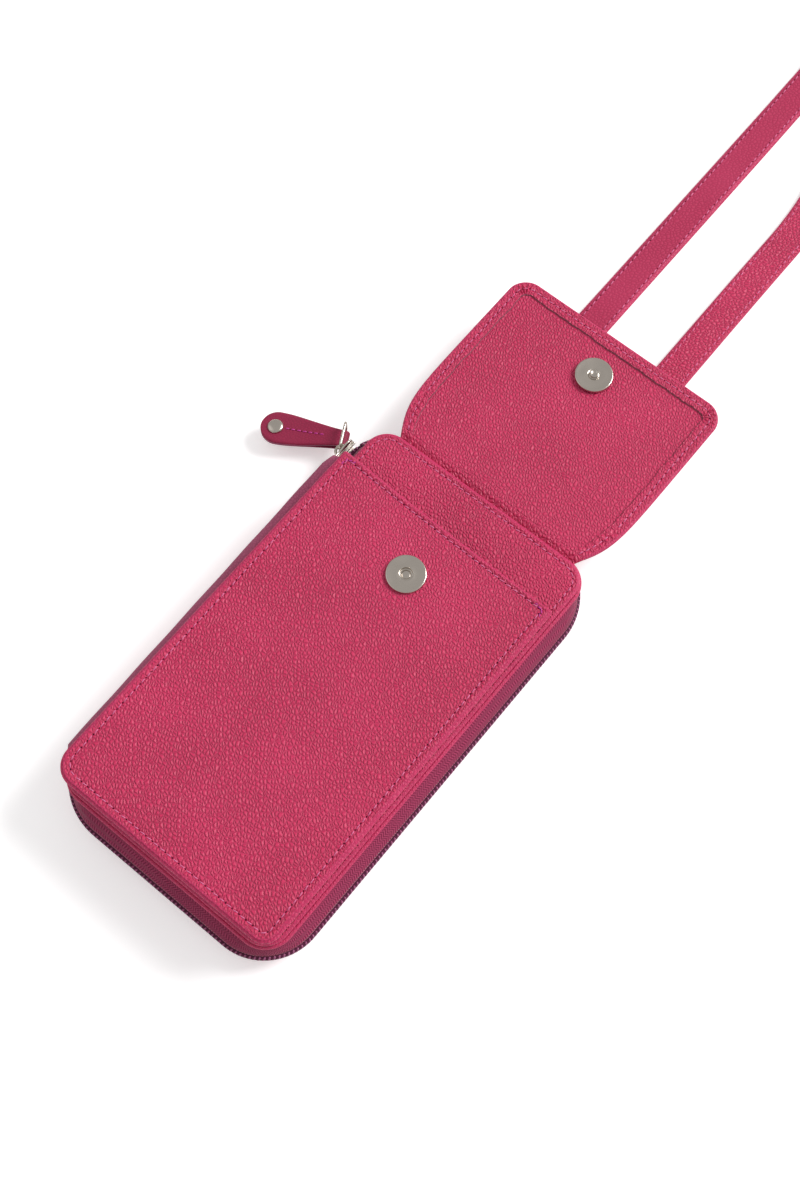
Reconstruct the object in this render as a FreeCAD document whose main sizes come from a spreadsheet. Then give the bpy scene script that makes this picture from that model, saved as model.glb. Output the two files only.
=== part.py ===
import FreeCAD, Part
import math
import os
import re
import Sketcher

# A leather phone pouch: a zip-around wallet that opens like a book on its left spine, a gusseted phone
# pocket on its front, a fold-over flap with a magnetic snap, and a shoulder strap sewn into the back.
# The back lies on Z = 0 with its centre at the origin; +Y runs towards the flap and +X to the zip side.
# Lengths are in millimetres.

V = FreeCAD.Vector
doc = FreeCAD.newDocument("phone_pouch")
sheet = doc.addObject("Spreadsheet::Sheet", "sizes")

SIZES = {
    "panel_width": 99.0,
    "panel_length": 181.0,
    "panel_corner": 9.5,
    "cover_thick": 2.0,
    "cover_round": 0.7,
    "board_thick": 1.2,
    "board_inset": 1.5,
    "lining_thick": 0.9,
    "lining_inset": 0.6,
    "wallet_height": 19.8,
    "card_width": 86.0,
    "card_length": 58.0,
    "card_corner": 3.0,
    "card_thick": 0.8,
    "card_step": 14.0,
    "card_foot": 84.0,
    "tape_thick": 0.9,
    "tape_inset": 1.2,
    "zip_stand": 5.4,
    "zip_corner": 22.0,
    "zip_gap": 0.2,
    "chain_height": 1.1,
    "chain_depth": 1.6,
    "stop_length": 2.0,
    "stop_room": 1.75,
    "spine_room": 1.65,
    "spine_bulge": 6.6,
    "spine_thick": 1.3,
    "spine_seam": 0.2,
    "pocket_width": 99.5,
    "pocket_length": 157.5,
    "pocket_scoop": 0.8,
    "pocket_corner": 6.5,
    "pocket_rise": 9.8,
    "gusset_thick": 1.2,
    "gusset_inset": 1.6,
    "gusset_fold": 4.4,
    "gusset_foot": 7.0,
    "snap_radius": 7.5,
    "snap_thick": 1.6,
    "snap_below_mouth": 22.7,
    "snap_hole_radius": 2.5,
    "snap_hole_depth": 1.3,
    "snap_dish": 0.35,
    "snap_rim": 0.9,
    "stud_radius": 1.8,
    "stud_height": 1.0,
    "snap_touch": 0.3,
    "plate_radius": 6.5,
    "plate_thick": 0.5,
    "flap_width": 99.5,
    "flap_tip": 16.0,
    "flap_corner": 5.5,
    "flap_leather": 1.2,
    "flap_hem": 6.0,
    "flap_lining": 0.8,
    "neck_width": 82.0,
    "foot_width": 95.0,
    "neck_flare": 45.0,
    "crease_half": 1.6,
    "crease_thick": 1.0,
    "root_length": 10.0,
    "root_thick": 1.1,
    "slider_length": 12.5,
    "slider_height": 9.0,
    "slider_plate": 1.0,
    "slider_clear": 0.9,
    "slider_flange": 0.9,
    "slider_nose": 1.2,
    "eye_radius": 2.6,
    "eye_ahead": 1.2,
    "ring_length": 11.0,
    "ring_height": 6.0,
    "ring_corner": 1.6,
    "ring_wire": 0.6,
    "ring_seat": 1.1,
    "pull_turn": 28.0,
    "tab_length": 33.0,
    "tab_wide": 13.6,
    "tab_narrow": 7.0,
    "tab_leather": 1.1,
    "rivet_radius": 3.1,
    "rivet_dome": 1.1,
    "rivet_edge": 5.9,
    "strap_width": 14.0,
    "strap_thick": 2.4,
    "strap_apart": 39.0,
    "strap_end": 18.0,
    "strap_lift": 0.1,
    "strap_left_run": 252.0,
    "strap_right_run": 196.0,
    "roll_radius": 34.6,
    "roll_layer": 6.0,
    "roll_far": 308.0,
    "fit_gap": 0.3,
    "overrun": 5.0,
}

for row, (alias, value) in enumerate(SIZES.items(), start=1):
    sheet.set(f"A{row}", alias)
    sheet.set(f"B{row}", str(value))
    sheet.setAlias(f"B{row}", alias)
doc.recompute()

# Heights and places that several pieces share, written once as rules in the sheet's names.
RULES = {
    "back_lining_low": "cover_thick + board_thick",
    "back_inside": "cover_thick + board_thick + lining_thick",
    "front_cover_low": "wallet_height - cover_thick",
    "front_board_low": "wallet_height - cover_thick - board_thick",
    "front_inside": "wallet_height - cover_thick - board_thick - lining_thick",
    "zip_level": "wallet_height / 2",
    "chain_back_low": "wallet_height / 2 - zip_gap / 2 - chain_height",
    "chain_front_low": "wallet_height / 2 + zip_gap / 2",
    "zip_half_wide": "panel_width / 2 + zip_stand",
    "zip_half_long": "panel_length / 2 + zip_stand",
    "pocket_low": "wallet_height + pocket_rise",
    "pocket_face": "wallet_height + pocket_rise + cover_thick",
    "snap_up": "pocket_length - pocket_scoop - snap_below_mouth",
    "snap_y": "snap_up - panel_length / 2",
    "flap_mid": "wallet_height - cover_thick + fit_gap",
    "fold_y": "panel_length / 2 + crease_half",
    "flap_length": "fold_y - snap_y + flap_tip - crease_half",
    "slider_y": "zip_half_long - zip_corner",
    "spine_half": "slider_y - slider_length / 2 - spine_room",
    "gusset_room": "gusset_inset + gusset_fold + gusset_thick + fit_gap",
}


def size(name):
    return float(sheet.get(name))


class Sizes:
    """The sheet's numbers by name, for the few shapes that are worked out here."""

    def __getattr__(self, name):
        return size(name)


s = Sizes()


def rule(words):
    """A rule with shared places spelled out and every size read from the sheet."""
    while any(re.search(rf"\b{name}\b", words) for name in RULES):
        for name, text in RULES.items():
            words = re.sub(rf"\b{name}\b", f"({text})", words)
    return re.sub(r"\b([a-z][a-z_]+)\b", r"sizes.\1", words)


def bind(item, prop, words):
    item.setExpression(prop, rule(words))


def put(item, x="0", y="0", z="0"):
    for axis, words in zip("xyz", (x, y, z)):
        bind(item, f"Placement.Base.{axis}", words)


def new_body(label):
    body = doc.addObject("PartDesign::Body", label)
    body.Label = label
    return body


def origin_plane(body, role):
    return next(item for item in body.Origin.OriginFeatures if item.Role == role)


def new_sketch(body, name, role="XY_Plane"):
    sketch = body.newObject("Sketcher::SketchObject", name)
    sketch.AttachmentSupport = [(origin_plane(body, role), "")]
    sketch.MapMode = "FlatFace"
    return sketch


def named(sketch, name, words, *constraint):
    index = sketch.addConstraint(Sketcher.Constraint(*constraint))
    sketch.renameConstraint(index, name)
    bind(sketch, f"Constraints.{name}", words)


def rounded(sketch, tag, wide, long, corner):
    """A rounded rectangle about the sketch's origin: four lines and four quarter arcs."""
    a, b, r = size("panel_width") / 2, size("panel_length") / 2, size("panel_corner")
    first = sketch.GeometryCount
    ends = [(-a + r, -b, a - r, -b), (a, -b + r, a, b - r), (a - r, b, -a + r, b), (-a, b - r, -a, -b + r)]
    for x0, y0, x1, y1 in ends:
        sketch.addGeometry(Part.LineSegment(V(x0, y0, 0), V(x1, y1, 0)))
    middles = [(a - r, -b + r, -90), (a - r, b - r, 0), (-a + r, b - r, 90), (-a + r, -b + r, 180)]
    for x, y, start in middles:
        circle = Part.Circle(V(x, y, 0), V(0, 0, 1), r)
        sketch.addGeometry(Part.ArcOfCircle(circle, math.radians(start), math.radians(start + 90)))
    for side in range(4):
        line, arc, after = first + side, first + 4 + side, first + (side + 1) % 4
        sketch.addConstraint(Sketcher.Constraint("Tangent", line, 2, arc, 1))
        sketch.addConstraint(Sketcher.Constraint("Tangent", arc, 2, after, 1))
        if side:
            sketch.addConstraint(Sketcher.Constraint("Equal", first + 4, arc))
    sketch.addConstraint(Sketcher.Constraint("Horizontal", first))
    sketch.addConstraint(Sketcher.Constraint("Vertical", first + 1))
    sketch.addConstraint(Sketcher.Constraint("Horizontal", first + 2))
    sketch.addConstraint(Sketcher.Constraint("Vertical", first + 3))
    sketch.addConstraint(Sketcher.Constraint("Symmetric", first, 1, first + 2, 1, -1, 1))
    named(sketch, f"{tag}_wide", wide, "DistanceX", first + 3, 1, first + 1, 1, 2 * a)
    named(sketch, f"{tag}_long", long, "DistanceY", first, 1, first + 2, 1, 2 * b)
    named(sketch, f"{tag}_corner", corner, "Radius", first + 4, r)


def pad(body, sketch, words, middle=False):
    feature = body.newObject("PartDesign::Pad", f"{body.Name}_pad")
    feature.Profile = sketch
    bind(feature, "Length", words)
    feature.Midplane = middle
    sketch.Visibility = False
    return feature


def pocket(body, sketch, words, name, reverse=False, middle=False):
    feature = body.newObject("PartDesign::Pocket", name)
    feature.Profile = sketch
    bind(feature, "Length", words)
    feature.Reversed = reverse
    feature.Midplane = middle
    return feature


def circle_sketch(body, name, x, y, radius):
    sketch = new_sketch(body, name)
    sketch.addGeometry(Part.Circle(V(s.panel_width, s.panel_length, 0), V(0, 0, 1), s.panel_corner))
    named(sketch, "at_x", x, "DistanceX", -1, 1, 0, 3, s.panel_width)
    named(sketch, "at_y", y, "DistanceY", -1, 1, 0, 3, s.panel_length)
    named(sketch, "radius", radius, "Radius", 0, s.panel_corner)
    return sketch


def round_edges(body, words, keep):
    """Rounds the edges that keep() picks off the body's tip."""
    doc.recompute()
    base = body.Tip
    feature = body.newObject("PartDesign::Fillet", f"{body.Name}_round")
    names = [f"Edge{n}" for n, edge in enumerate(base.Shape.Edges, start=1) if keep(edge)]
    feature.Base = (base, names)
    bind(feature, "Radius", words)
    return feature


SAME = 1e-4  # two places closer than this are one


def level(edge, z):
    return abs(edge.BoundBox.ZMin - z) < SAME and abs(edge.BoundBox.ZMax - z) < SAME


def plate(label, wide, long, corner, thick, z, x="0", y="0"):
    body = new_body(label)
    sketch = new_sketch(body, f"{label}_outline")
    rounded(sketch, "outline", wide, long, corner)
    pad(body, sketch, thick)
    put(body, x, y, z)
    return body


def box(label, length, width, height, x, y, z):
    item = doc.addObject("Part::Box", label)
    item.Label = label
    bind(item, "Length", length)
    bind(item, "Width", width)
    bind(item, "Height", height)
    put(item, x, y, z)
    return item


nodes = []


def keep(item):
    nodes.append(item)
    return item


# Back half: cover, stiffening board, lining and three card slots.
back_cover = keep(plate("back_cover", "panel_width", "panel_length", "panel_corner", "cover_thick", "0"))
round_edges(back_cover, "cover_round", lambda edge: level(edge, s.cover_thick))
keep(plate("back_board", "panel_width - 2 * board_inset", "panel_length - 2 * board_inset - strap_end",
           "panel_corner - board_inset", "board_thick", "cover_thick", y="-strap_end / 2"))
keep(plate("back_lining", "panel_width - 2 * lining_inset", "panel_length - 2 * lining_inset",
           "panel_corner - lining_inset", "lining_thick", "back_lining_low"))
for slot in range(3):
    keep(plate(f"card_slot_{slot + 1}", "card_width", "card_length", "card_corner", "card_thick",
               f"back_inside + {slot} * card_thick",
               y=f"card_length / 2 - card_foot + {2 - slot} * card_step"))


# Zip: on each half a slanted tape band and a chain bead, open along the spine.
def ring_outline(label, wide, long, corner, z):
    sketch = doc.addObject("Sketcher::SketchObject", label)
    rounded(sketch, "ring", wide, long, corner)
    bind(sketch, "Placement.Base.z", z)
    sketch.Visibility = False
    return sketch


def tape_wall(label, inset, foot_z, lip_z):
    """A solid that tapers from the panel's seam at foot_z to the zip line at lip_z."""
    foot = ring_outline(f"{label}_foot", f"panel_width - 2 * ({inset} + tape_inset)",
                        f"panel_length - 2 * ({inset} + tape_inset)", "panel_corner", foot_z)
    lip = ring_outline(f"{label}_lip", f"2 * (zip_half_wide - {inset})", f"2 * (zip_half_long - {inset})",
                       f"zip_corner - {inset}", lip_z)
    wall = doc.addObject("Part::Loft", label)
    wall.Sections = [foot, lip]
    wall.Solid = True
    wall.Ruled = True
    return wall


def spine_gap(label, top_y, z, height):
    """The stretch of the left side that has no zip."""
    return box(f"{label}_gap", "zip_corner", f"{top_y} + spine_half", height,
               "-zip_half_wide - overrun", "-spine_half", z)


def zip_tape(label, foot_z, lip_z, low_z, height, top_y):
    wall = tape_wall(f"{label}_wall", "0", foot_z, lip_z)
    hollow = tape_wall(f"{label}_hollow", "tape_thick", foot_z, lip_z)
    band = doc.addObject("Part::Cut", f"{label}_band")
    band.Base = wall
    band.Tool = hollow
    tape = doc.addObject("Part::Cut", label)
    tape.Label = label
    tape.Base = band
    tape.Tool = spine_gap(label, top_y, low_z, height)
    return tape


def zip_chain(label, z, top_y):
    body = new_body(f"{label}_loop")
    sketch = new_sketch(body, f"{label}_ring")
    rounded(sketch, "outer", "2 * zip_half_wide + chain_depth", "2 * zip_half_long + chain_depth",
            "zip_corner + chain_depth / 2")
    rounded(sketch, "inner", "2 * zip_half_wide - chain_depth", "2 * zip_half_long - chain_depth",
            "zip_corner - chain_depth / 2")
    pad(body, sketch, "chain_height")
    put(body, z=z)
    chain = doc.addObject("Part::Cut", label)
    chain.Base = body
    chain.Tool = spine_gap(label, top_y, f"{z} - overrun", "chain_height + 2 * overrun")
    return chain


# The front half's zip starts past the slider, so that half can leave the slider behind.
BACK_TOP = "slider_y - slider_length / 2 - stop_room"
FRONT_TOP = "slider_y + slider_length / 2 + slider_nose"
keep(zip_tape("zip_tape_back", "back_inside", "chain_back_low", "0", "wallet_height", BACK_TOP))
keep(zip_chain("zip_chain_back", "chain_back_low", BACK_TOP))
for label, y in (("zip_stop_top", f"{BACK_TOP} - stop_length"), ("zip_stop_bottom", "-spine_half")):
    keep(box(label, "chain_depth", "stop_length", "chain_height",
             "-zip_half_wide - chain_depth / 2", y, "chain_back_low"))
keep(zip_tape("zip_tape_front", "front_inside", "chain_front_low + chain_height", "0", "wallet_height",
              FRONT_TOP))
keep(zip_chain("zip_chain_front", "chain_front_low", FRONT_TOP))


# Spine: a leather strip that bulges out between the two covers' left edges.
def bowed(label, start, bow, end, wall, along):
    """A strip whose section lies between one arc and the same arc moved by wall, run along a straight line."""
    middle = (start + end) * 0.5 + bow
    edges = [Part.Arc(start, middle, end).toShape(),
             Part.LineSegment(end, end + wall).toShape(),
             Part.Arc(end + wall, middle + wall, start + wall).toShape(),
             Part.LineSegment(start + wall, start).toShape()]
    item = doc.addObject("Part::Feature", label)
    item.Shape = Part.Face(Part.Wire(Part.__sortEdges__(edges))).extrude(along)
    return item


half_panel = s.panel_width / 2
slider_y = s.panel_length / 2 + s.zip_stand - s.zip_corner
spine_half = slider_y - s.slider_length / 2 - s.spine_room
spine_x = -half_panel - s.spine_seam
keep(bowed("spine", V(spine_x, -spine_half, s.cover_thick / 2), V(-s.spine_bulge, 0, 0),
           V(spine_x, -spine_half, s.wallet_height - s.cover_thick / 2), V(-s.spine_thick, 0, 0),
           V(0, 2 * spine_half, 0)))

# Front half of the wallet: lining, board, the flap's sewn root and the cover.
keep(plate("front_lining", "panel_width - 2 * lining_inset", "panel_length - 2 * lining_inset",
           "panel_corner - lining_inset", "lining_thick", "front_inside"))
keep(plate("front_board", "panel_width - 2 * board_inset", "panel_length - 2 * board_inset - root_length",
           "panel_corner - board_inset", "board_thick", "front_board_low", y="-root_length / 2"))
front_cover = keep(plate("wallet_front_cover", "panel_width", "panel_length", "panel_corner", "cover_thick",
                         "front_cover_low"))
round_edges(front_cover, "cover_round", lambda edge: level(edge, s.cover_thick))
keep(box("flap_root", "neck_width", "root_length", "root_thick", "-neck_width / 2",
         "panel_length / 2 - root_length", "front_board_low"))

# Phone pocket: front panel with a scooped mouth, lining and folded gussets on three sides.
pocket_front = keep(plate("pocket_front", "pocket_width", "pocket_length + 2 * pocket_corner", "pocket_corner",
                          "cover_thick", "pocket_low", y="(pocket_length - panel_length) / 2 + pocket_corner"))
scoop_radius = "((pocket_width / 2) ^ 2 + pocket_scoop ^ 2) / (2 * pocket_scoop)"
mouth = circle_sketch(pocket_front, "pocket_mouth", "0",
                      f"pocket_length / 2 - pocket_corner - pocket_scoop + {scoop_radius}", scoop_radius)
pocket(pocket_front, mouth, "2 * overrun", "pocket_mouth_cut", middle=True)
seat = circle_sketch(pocket_front, "pocket_plate_seat", "0",
                     "snap_up - pocket_length / 2 - pocket_corner", "plate_radius + fit_gap")
pocket(pocket_front, seat, "plate_thick", "pocket_plate_cut", reverse=True)
keep(plate("pocket_lining", "pocket_width - 2 * (gusset_room)",
           "pocket_length - pocket_scoop - lining_inset - (gusset_room)", "pocket_corner", "lining_thick",
           "pocket_low - lining_thick",
           y="(pocket_length - panel_length - pocket_scoop - lining_inset + (gusset_room)) / 2"))

gusset_edge = s.pocket_width / 2 - s.gusset_inset
gusset_low = s.wallet_height
gusset_top = s.wallet_height + s.pocket_rise
gusset_y = -s.panel_length / 2 + s.gusset_foot
gusset_run = V(0, s.pocket_length - s.gusset_foot - s.pocket_scoop, 0)
keep(bowed("gusset_left", V(-gusset_edge, gusset_y, gusset_low), V(-s.gusset_fold, 0, 0),
           V(-gusset_edge, gusset_y, gusset_top), V(-s.gusset_thick, 0, 0), gusset_run))
keep(bowed("gusset_right", V(gusset_edge, gusset_y, gusset_low), V(-s.gusset_fold, 0, 0),
           V(gusset_edge, gusset_y, gusset_top), V(-s.gusset_thick, 0, 0), gusset_run))
gusset_end = -s.panel_length / 2 + s.gusset_inset
gusset_side = -gusset_edge + s.gusset_foot
keep(bowed("gusset_bottom", V(gusset_side, gusset_end, gusset_low), V(0, s.gusset_fold, 0),
           V(gusset_side, gusset_end, gusset_top), V(0, s.gusset_thick, 0),
           V(2 * (gusset_edge - s.gusset_foot), 0, 0)))


# Magnetic snap: turned discs, each with a thin plate behind the leather.
def turned(label, profile, x, y, z):
    """Turns a half profile of (radius, height) points, given as size rules, about Z."""
    body = new_body(label)
    sketch = new_sketch(body, f"{label}_profile", "XZ_Plane")
    spread = s.snap_radius / len(profile)
    rough = [V(s.snap_radius - abs(n - len(profile) / 2) * spread, n * spread, 0) for n in range(len(profile))]
    for n, point in enumerate(rough):
        sketch.addGeometry(Part.LineSegment(point, rough[(n + 1) % len(rough)]))
    for n, (out, up) in enumerate(profile):
        sketch.addConstraint(Sketcher.Constraint("Coincident", n, 2, (n + 1) % len(rough), 1))
        named(sketch, f"out_{n}", out, "DistanceX", -1, 1, n, 1, rough[n].x)
        named(sketch, f"up_{n}", up, "DistanceY", -1, 1, n, 1, rough[n].y)
    feature = body.newObject("PartDesign::Revolution", f"{label}_turn")
    feature.Profile = sketch
    feature.ReferenceAxis = (sketch, ["V_Axis"])
    feature.Angle = 360
    put(body, x, y, z)
    return body


def thin_disc(label, y, z):
    item = doc.addObject("Part::Cylinder", label)
    item.Label = label
    bind(item, "Radius", "plate_radius")
    bind(item, "Height", "plate_thick")
    put(item, y=y, z=z)
    return item


keep(turned("snap_socket", [
    ("0", "0"), ("snap_radius", "0"), ("snap_radius", "snap_thick - snap_dish"),
    ("snap_radius - snap_dish", "snap_thick"), ("snap_hole_radius + snap_rim", "snap_thick"),
    ("snap_hole_radius", "snap_thick - snap_dish"), ("snap_hole_radius", "snap_thick - snap_hole_depth"),
    ("0", "snap_thick - snap_hole_depth")], "0", "snap_y", "pocket_face"))
keep(thin_disc("snap_socket_plate", "snap_y", "pocket_low"))

# Flap: hinge creases, neck, then leather, turned hem and lining, with the stud of the snap.
NECK_LONG = "(pocket_face + snap_thick + snap_touch + snap_thick + flap_lining - flap_mid)"
TURN_Y = f"(fold_y + {NECK_LONG})"
STUD_Y = f"({TURN_Y} + fold_y - snap_y)"
FLAP_LOW_Y = f"({TURN_Y} + crease_half)"
FLAP_MID_Y = f"({FLAP_LOW_Y} + flap_length / 2 - flap_corner)"
FLAP_CUT_LONG = "flap_length + 2 * flap_corner"
keep(box("crease_lower", "neck_width", "2 * crease_half", "crease_thick", "-neck_width / 2",
         "fold_y - crease_half", "flap_mid - crease_thick / 2"))
NECK_GAIN = "((foot_width - neck_width) / 2)"
NECK_HOLLOW = f"((({NECK_LONG} - 3 * crease_half) ^ 2 + {NECK_GAIN} ^ 2) / (2 * {NECK_GAIN}))"
neck = box("flap_neck_blank", "foot_width", f"{NECK_LONG} - 2 * crease_half", "2 * flap_leather",
           "-foot_width / 2", "fold_y + crease_half", "flap_mid - flap_leather")
for side, sign, label in (("left", "-", "flap_neck_left_cut"), ("right", "", "flap_neck")):
    hollow = doc.addObject("Part::Cylinder", f"flap_neck_{side}_hollow")
    bind(hollow, "Radius", NECK_HOLLOW)
    bind(hollow, "Height", "4 * flap_leather")
    put(hollow, f"{sign}(neck_width / 2 + {NECK_HOLLOW})", "fold_y + crease_half", "flap_mid - 2 * flap_leather")
    hollowed = doc.addObject("Part::Cut", label)
    hollowed.Base = neck
    hollowed.Tool = hollow
    neck = hollowed
keep(neck)
keep(box("crease_upper", "foot_width", "2 * crease_half", "crease_thick", "-foot_width / 2",
         f"{TURN_Y} - crease_half", "flap_mid - crease_thick / 2"))


def flap_sheet(label, inset, thick, z):
    """The flap's outline drawn in by inset: a rounded end, and a foot with one hollow curve each side."""
    body = plate(label, f"flap_width - 2 * ({inset})", f"{FLAP_CUT_LONG} - ({inset})",
                 f"flap_corner + ({inset}) / 4", thick, z, y=f"{FLAP_MID_Y} - ({inset}) / 2")
    for side, sign in (("left", "-"), ("right", "")):
        flare = circle_sketch(body, f"{label}_{side}", f"{sign}(foot_width / 2 + neck_flare)",
                              f"flap_corner - flap_length / 2 + ({inset}) / 2", f"neck_flare + ({inset})")
        pocket(body, flare, "2 * overrun", f"{label}_{side}_cut", middle=True)
    trim = new_sketch(body, f"{label}_neck_line")
    rounded(trim, "trim", "2 * flap_width", "2 * flap_corner", "flap_corner / 2")
    pocket(body, trim, "2 * overrun", f"{label}_neck_cut", middle=True)
    bind(trim, "AttachmentOffset.Base.y", f"({inset}) / 2 - flap_length / 2")
    return body


flap_outer = keep(flap_sheet("flap_outer", "0", "flap_leather", "flap_mid - flap_leather"))
stud_seat = circle_sketch(flap_outer, "flap_plate_seat", "0", f"{STUD_Y} - {FLAP_MID_Y}", "plate_radius + fit_gap")
bind(stud_seat, "AttachmentOffset.Base.z", "flap_leather")
pocket(flap_outer, stud_seat, "plate_thick", "flap_plate_cut")
hem_sheet = flap_sheet("flap_hem_sheet", "0", "flap_leather", "flap_mid")
hem_window = flap_sheet("flap_hem_window", "flap_hem", "3 * flap_leather", "flap_mid - flap_leather")
flap_hem = keep(doc.addObject("Part::Cut", "flap_hem"))
flap_hem.Base = hem_sheet
flap_hem.Tool = hem_window
keep(flap_sheet("flap_lining", "flap_hem + fit_gap", "flap_lining", "flap_mid"))
keep(turned("snap_stud", [
    ("0", "0"), ("snap_radius", "0"), ("snap_radius", "snap_thick - snap_dish"),
    ("snap_radius - snap_dish", "snap_thick"), ("stud_radius", "snap_thick"),
    ("stud_radius", "snap_thick + stud_height - snap_dish"),
    ("stud_radius - snap_dish", "snap_thick + stud_height"), ("0", "snap_thick + stud_height")],
    "0", STUD_Y, "flap_mid + flap_lining"))
keep(thin_disc("snap_stud_plate", STUD_Y, "flap_mid - plate_thick"))

# Zip slider: a plate with two flanges that lap the chains, and an eye for the pull's ring.
slider = new_body("zip_slider")
section = new_sketch(slider, "slider_section", "XZ_Plane")
channel_out = "zip_half_wide + chain_depth / 2 + slider_clear"
flange_high = "chain_height + zip_gap / 2 + fit_gap"
slider_points = [
    (f"-({channel_out} + slider_plate)", "-slider_height / 2"), (f"-({channel_out})", "-slider_height / 2"),
    (f"-({channel_out})", f"-({flange_high} + slider_flange)"),
    ("-(zip_half_wide + fit_gap)", f"-({flange_high} + slider_flange)"),
    ("-(zip_half_wide + fit_gap)", f"-({flange_high})"), (f"-({channel_out})", f"-({flange_high})"),
    (f"-({channel_out})", flange_high), ("-(zip_half_wide + fit_gap)", flange_high),
    ("-(zip_half_wide + fit_gap)", f"{flange_high} + slider_flange"),
    (f"-({channel_out})", f"{flange_high} + slider_flange"),
    (f"-({channel_out})", "slider_height / 2"), (f"-({channel_out} + slider_plate)", "slider_height / 2")]
slider_step = s.slider_height / len(slider_points)
slider_rough = [V(-half_panel - s.zip_stand - n % 2 * s.slider_plate, n * slider_step - s.slider_height / 2, 0)
                for n in range(len(slider_points))]
for n, point in enumerate(slider_rough):
    section.addGeometry(Part.LineSegment(point, slider_rough[(n + 1) % len(slider_rough)]))
for n, (across, up) in enumerate(slider_points):
    section.addConstraint(Sketcher.Constraint("Coincident", n, 2, (n + 1) % len(slider_points), 1))
    named(section, f"across_{n}", across, "DistanceX", -1, 1, n, 1, slider_rough[n].x)
    named(section, f"up_{n}", up, "DistanceY", -1, 1, n, 1, slider_rough[n].y)
pad(slider, section, "slider_length", middle=True)
put(slider, y="slider_y", z="zip_level")
round_edges(slider, "slider_nose", lambda edge: abs(edge.BoundBox.XLength - s.slider_plate) < SAME
            and edge.BoundBox.YLength < SAME and edge.BoundBox.ZLength < SAME)
keep(slider)

PLATE_FACE = f"({channel_out} + slider_plate)"
EYE_Y = "(slider_y + eye_ahead)"
eye_loop = doc.addObject("Part::Torus", "slider_eye_loop")
bind(eye_loop, "Radius1", "eye_radius")
bind(eye_loop, "Radius2", "ring_wire")
put(eye_loop, f"-{PLATE_FACE}", EYE_Y, "zip_level")
eye_room = box("slider_eye_room", "2 * eye_radius", "4 * eye_radius", "4 * eye_radius",
               f"-{PLATE_FACE}", f"{EYE_Y} - 2 * eye_radius", "zip_level - 2 * eye_radius")
slider_eye = keep(doc.addObject("Part::Cut", "slider_eye"))
slider_eye.Base = eye_loop
slider_eye.Tool = eye_room

# Pull: an upright oblong ring through the eye, and a leather tab folded round the ring's lower bar.
turn = math.radians(s.pull_turn)
out = V(-math.cos(turn), -math.sin(turn), 0)
ahead = V(-math.sin(turn), math.cos(turn), 0)
up = V(0, 0, 1)
plate_face = half_panel + s.zip_stand + s.chain_depth / 2 + s.slider_clear + s.slider_plate
swing_at = V(-plate_face - s.ring_seat, slider_y + s.eye_ahead, s.wallet_height / 2)


def ring_at(along, height):
    return swing_at + ahead * along + up * height


def oblong_ring(wire):
    """A round wire of that radius along a rounded rectangle that stands on its long side."""
    length, half, corner = s.ring_length, s.ring_height / 2, s.ring_corner
    slack = corner * (1 - math.cos(math.radians(45)))
    sides = [(0, corner - half, 0, half - corner), (corner, half, length - corner, half),
             (length, half - corner, length, corner - half), (length - corner, -half, corner, -half)]
    bends = [(slack, half - slack), (length - slack, half - slack), (length - slack, slack - half),
             (slack, slack - half)]
    edges = []
    for n, (a0, h0, a1, h1) in enumerate(sides):
        after = sides[(n + 1) % len(sides)]
        edges.append(Part.LineSegment(ring_at(a0, h0), ring_at(a1, h1)).toShape())
        edges.append(Part.Arc(ring_at(a1, h1), ring_at(*bends[n]), ring_at(after[0], after[1])).toShape())
    start = Part.Wire(Part.makeCircle(wire, ring_at(0, corner - half), up))
    return Part.Wire(edges).makePipeShell([start], True, False)


pull_ring = keep(doc.addObject("Part::Feature", "pull_ring"))
pull_ring.Shape = oblong_ring(s.ring_wire)

bar = ring_at(s.ring_length - s.ring_corner - s.tab_narrow / 2, -s.ring_height / 2)
fold_radius = s.ring_wire + s.fit_gap
tab_half = fold_radius + s.tab_leather


def tab_point(along, side, height):
    return bar + out * along + ahead * side + up * height


def tab_outline(height):
    """The flat shape at one height: narrow at the fold, straight flanks and a round end."""
    narrow, wide = s.tab_narrow / 2, s.tab_wide / 2
    end = s.tab_length - wide
    corner = [tab_point(-tab_half, -narrow, height), tab_point(end, -wide, height),
              tab_point(s.tab_length, 0, height), tab_point(end, wide, height),
              tab_point(-tab_half, narrow, height)]
    return Part.Wire([Part.LineSegment(corner[0], corner[1]).toShape(),
                      Part.Arc(corner[1], corner[2], corner[3]).toShape(),
                      Part.LineSegment(corner[3], corner[4]).toShape(),
                      Part.LineSegment(corner[4], corner[0]).toShape()])


def across_tab(points):
    """A prism right across the tab from a section of (along, height) points."""
    corner = [tab_point(along, -s.tab_wide, height) for along, height in points]
    return Part.Face(Part.makePolygon(corner + corner[:1])).extrude(ahead * (2 * s.tab_wide))


def taper(sign):
    """Takes the tab down from the fold's height to two thicknesses of leather."""
    return across_tab([(0, sign * tab_half), (s.tab_length / 2, sign * s.tab_leather),
                       (2 * s.tab_length, sign * s.tab_leather), (2 * s.tab_length, 2 * sign * tab_half),
                       (-2 * tab_half, 2 * sign * tab_half), (-2 * tab_half, sign * tab_half)])


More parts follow.
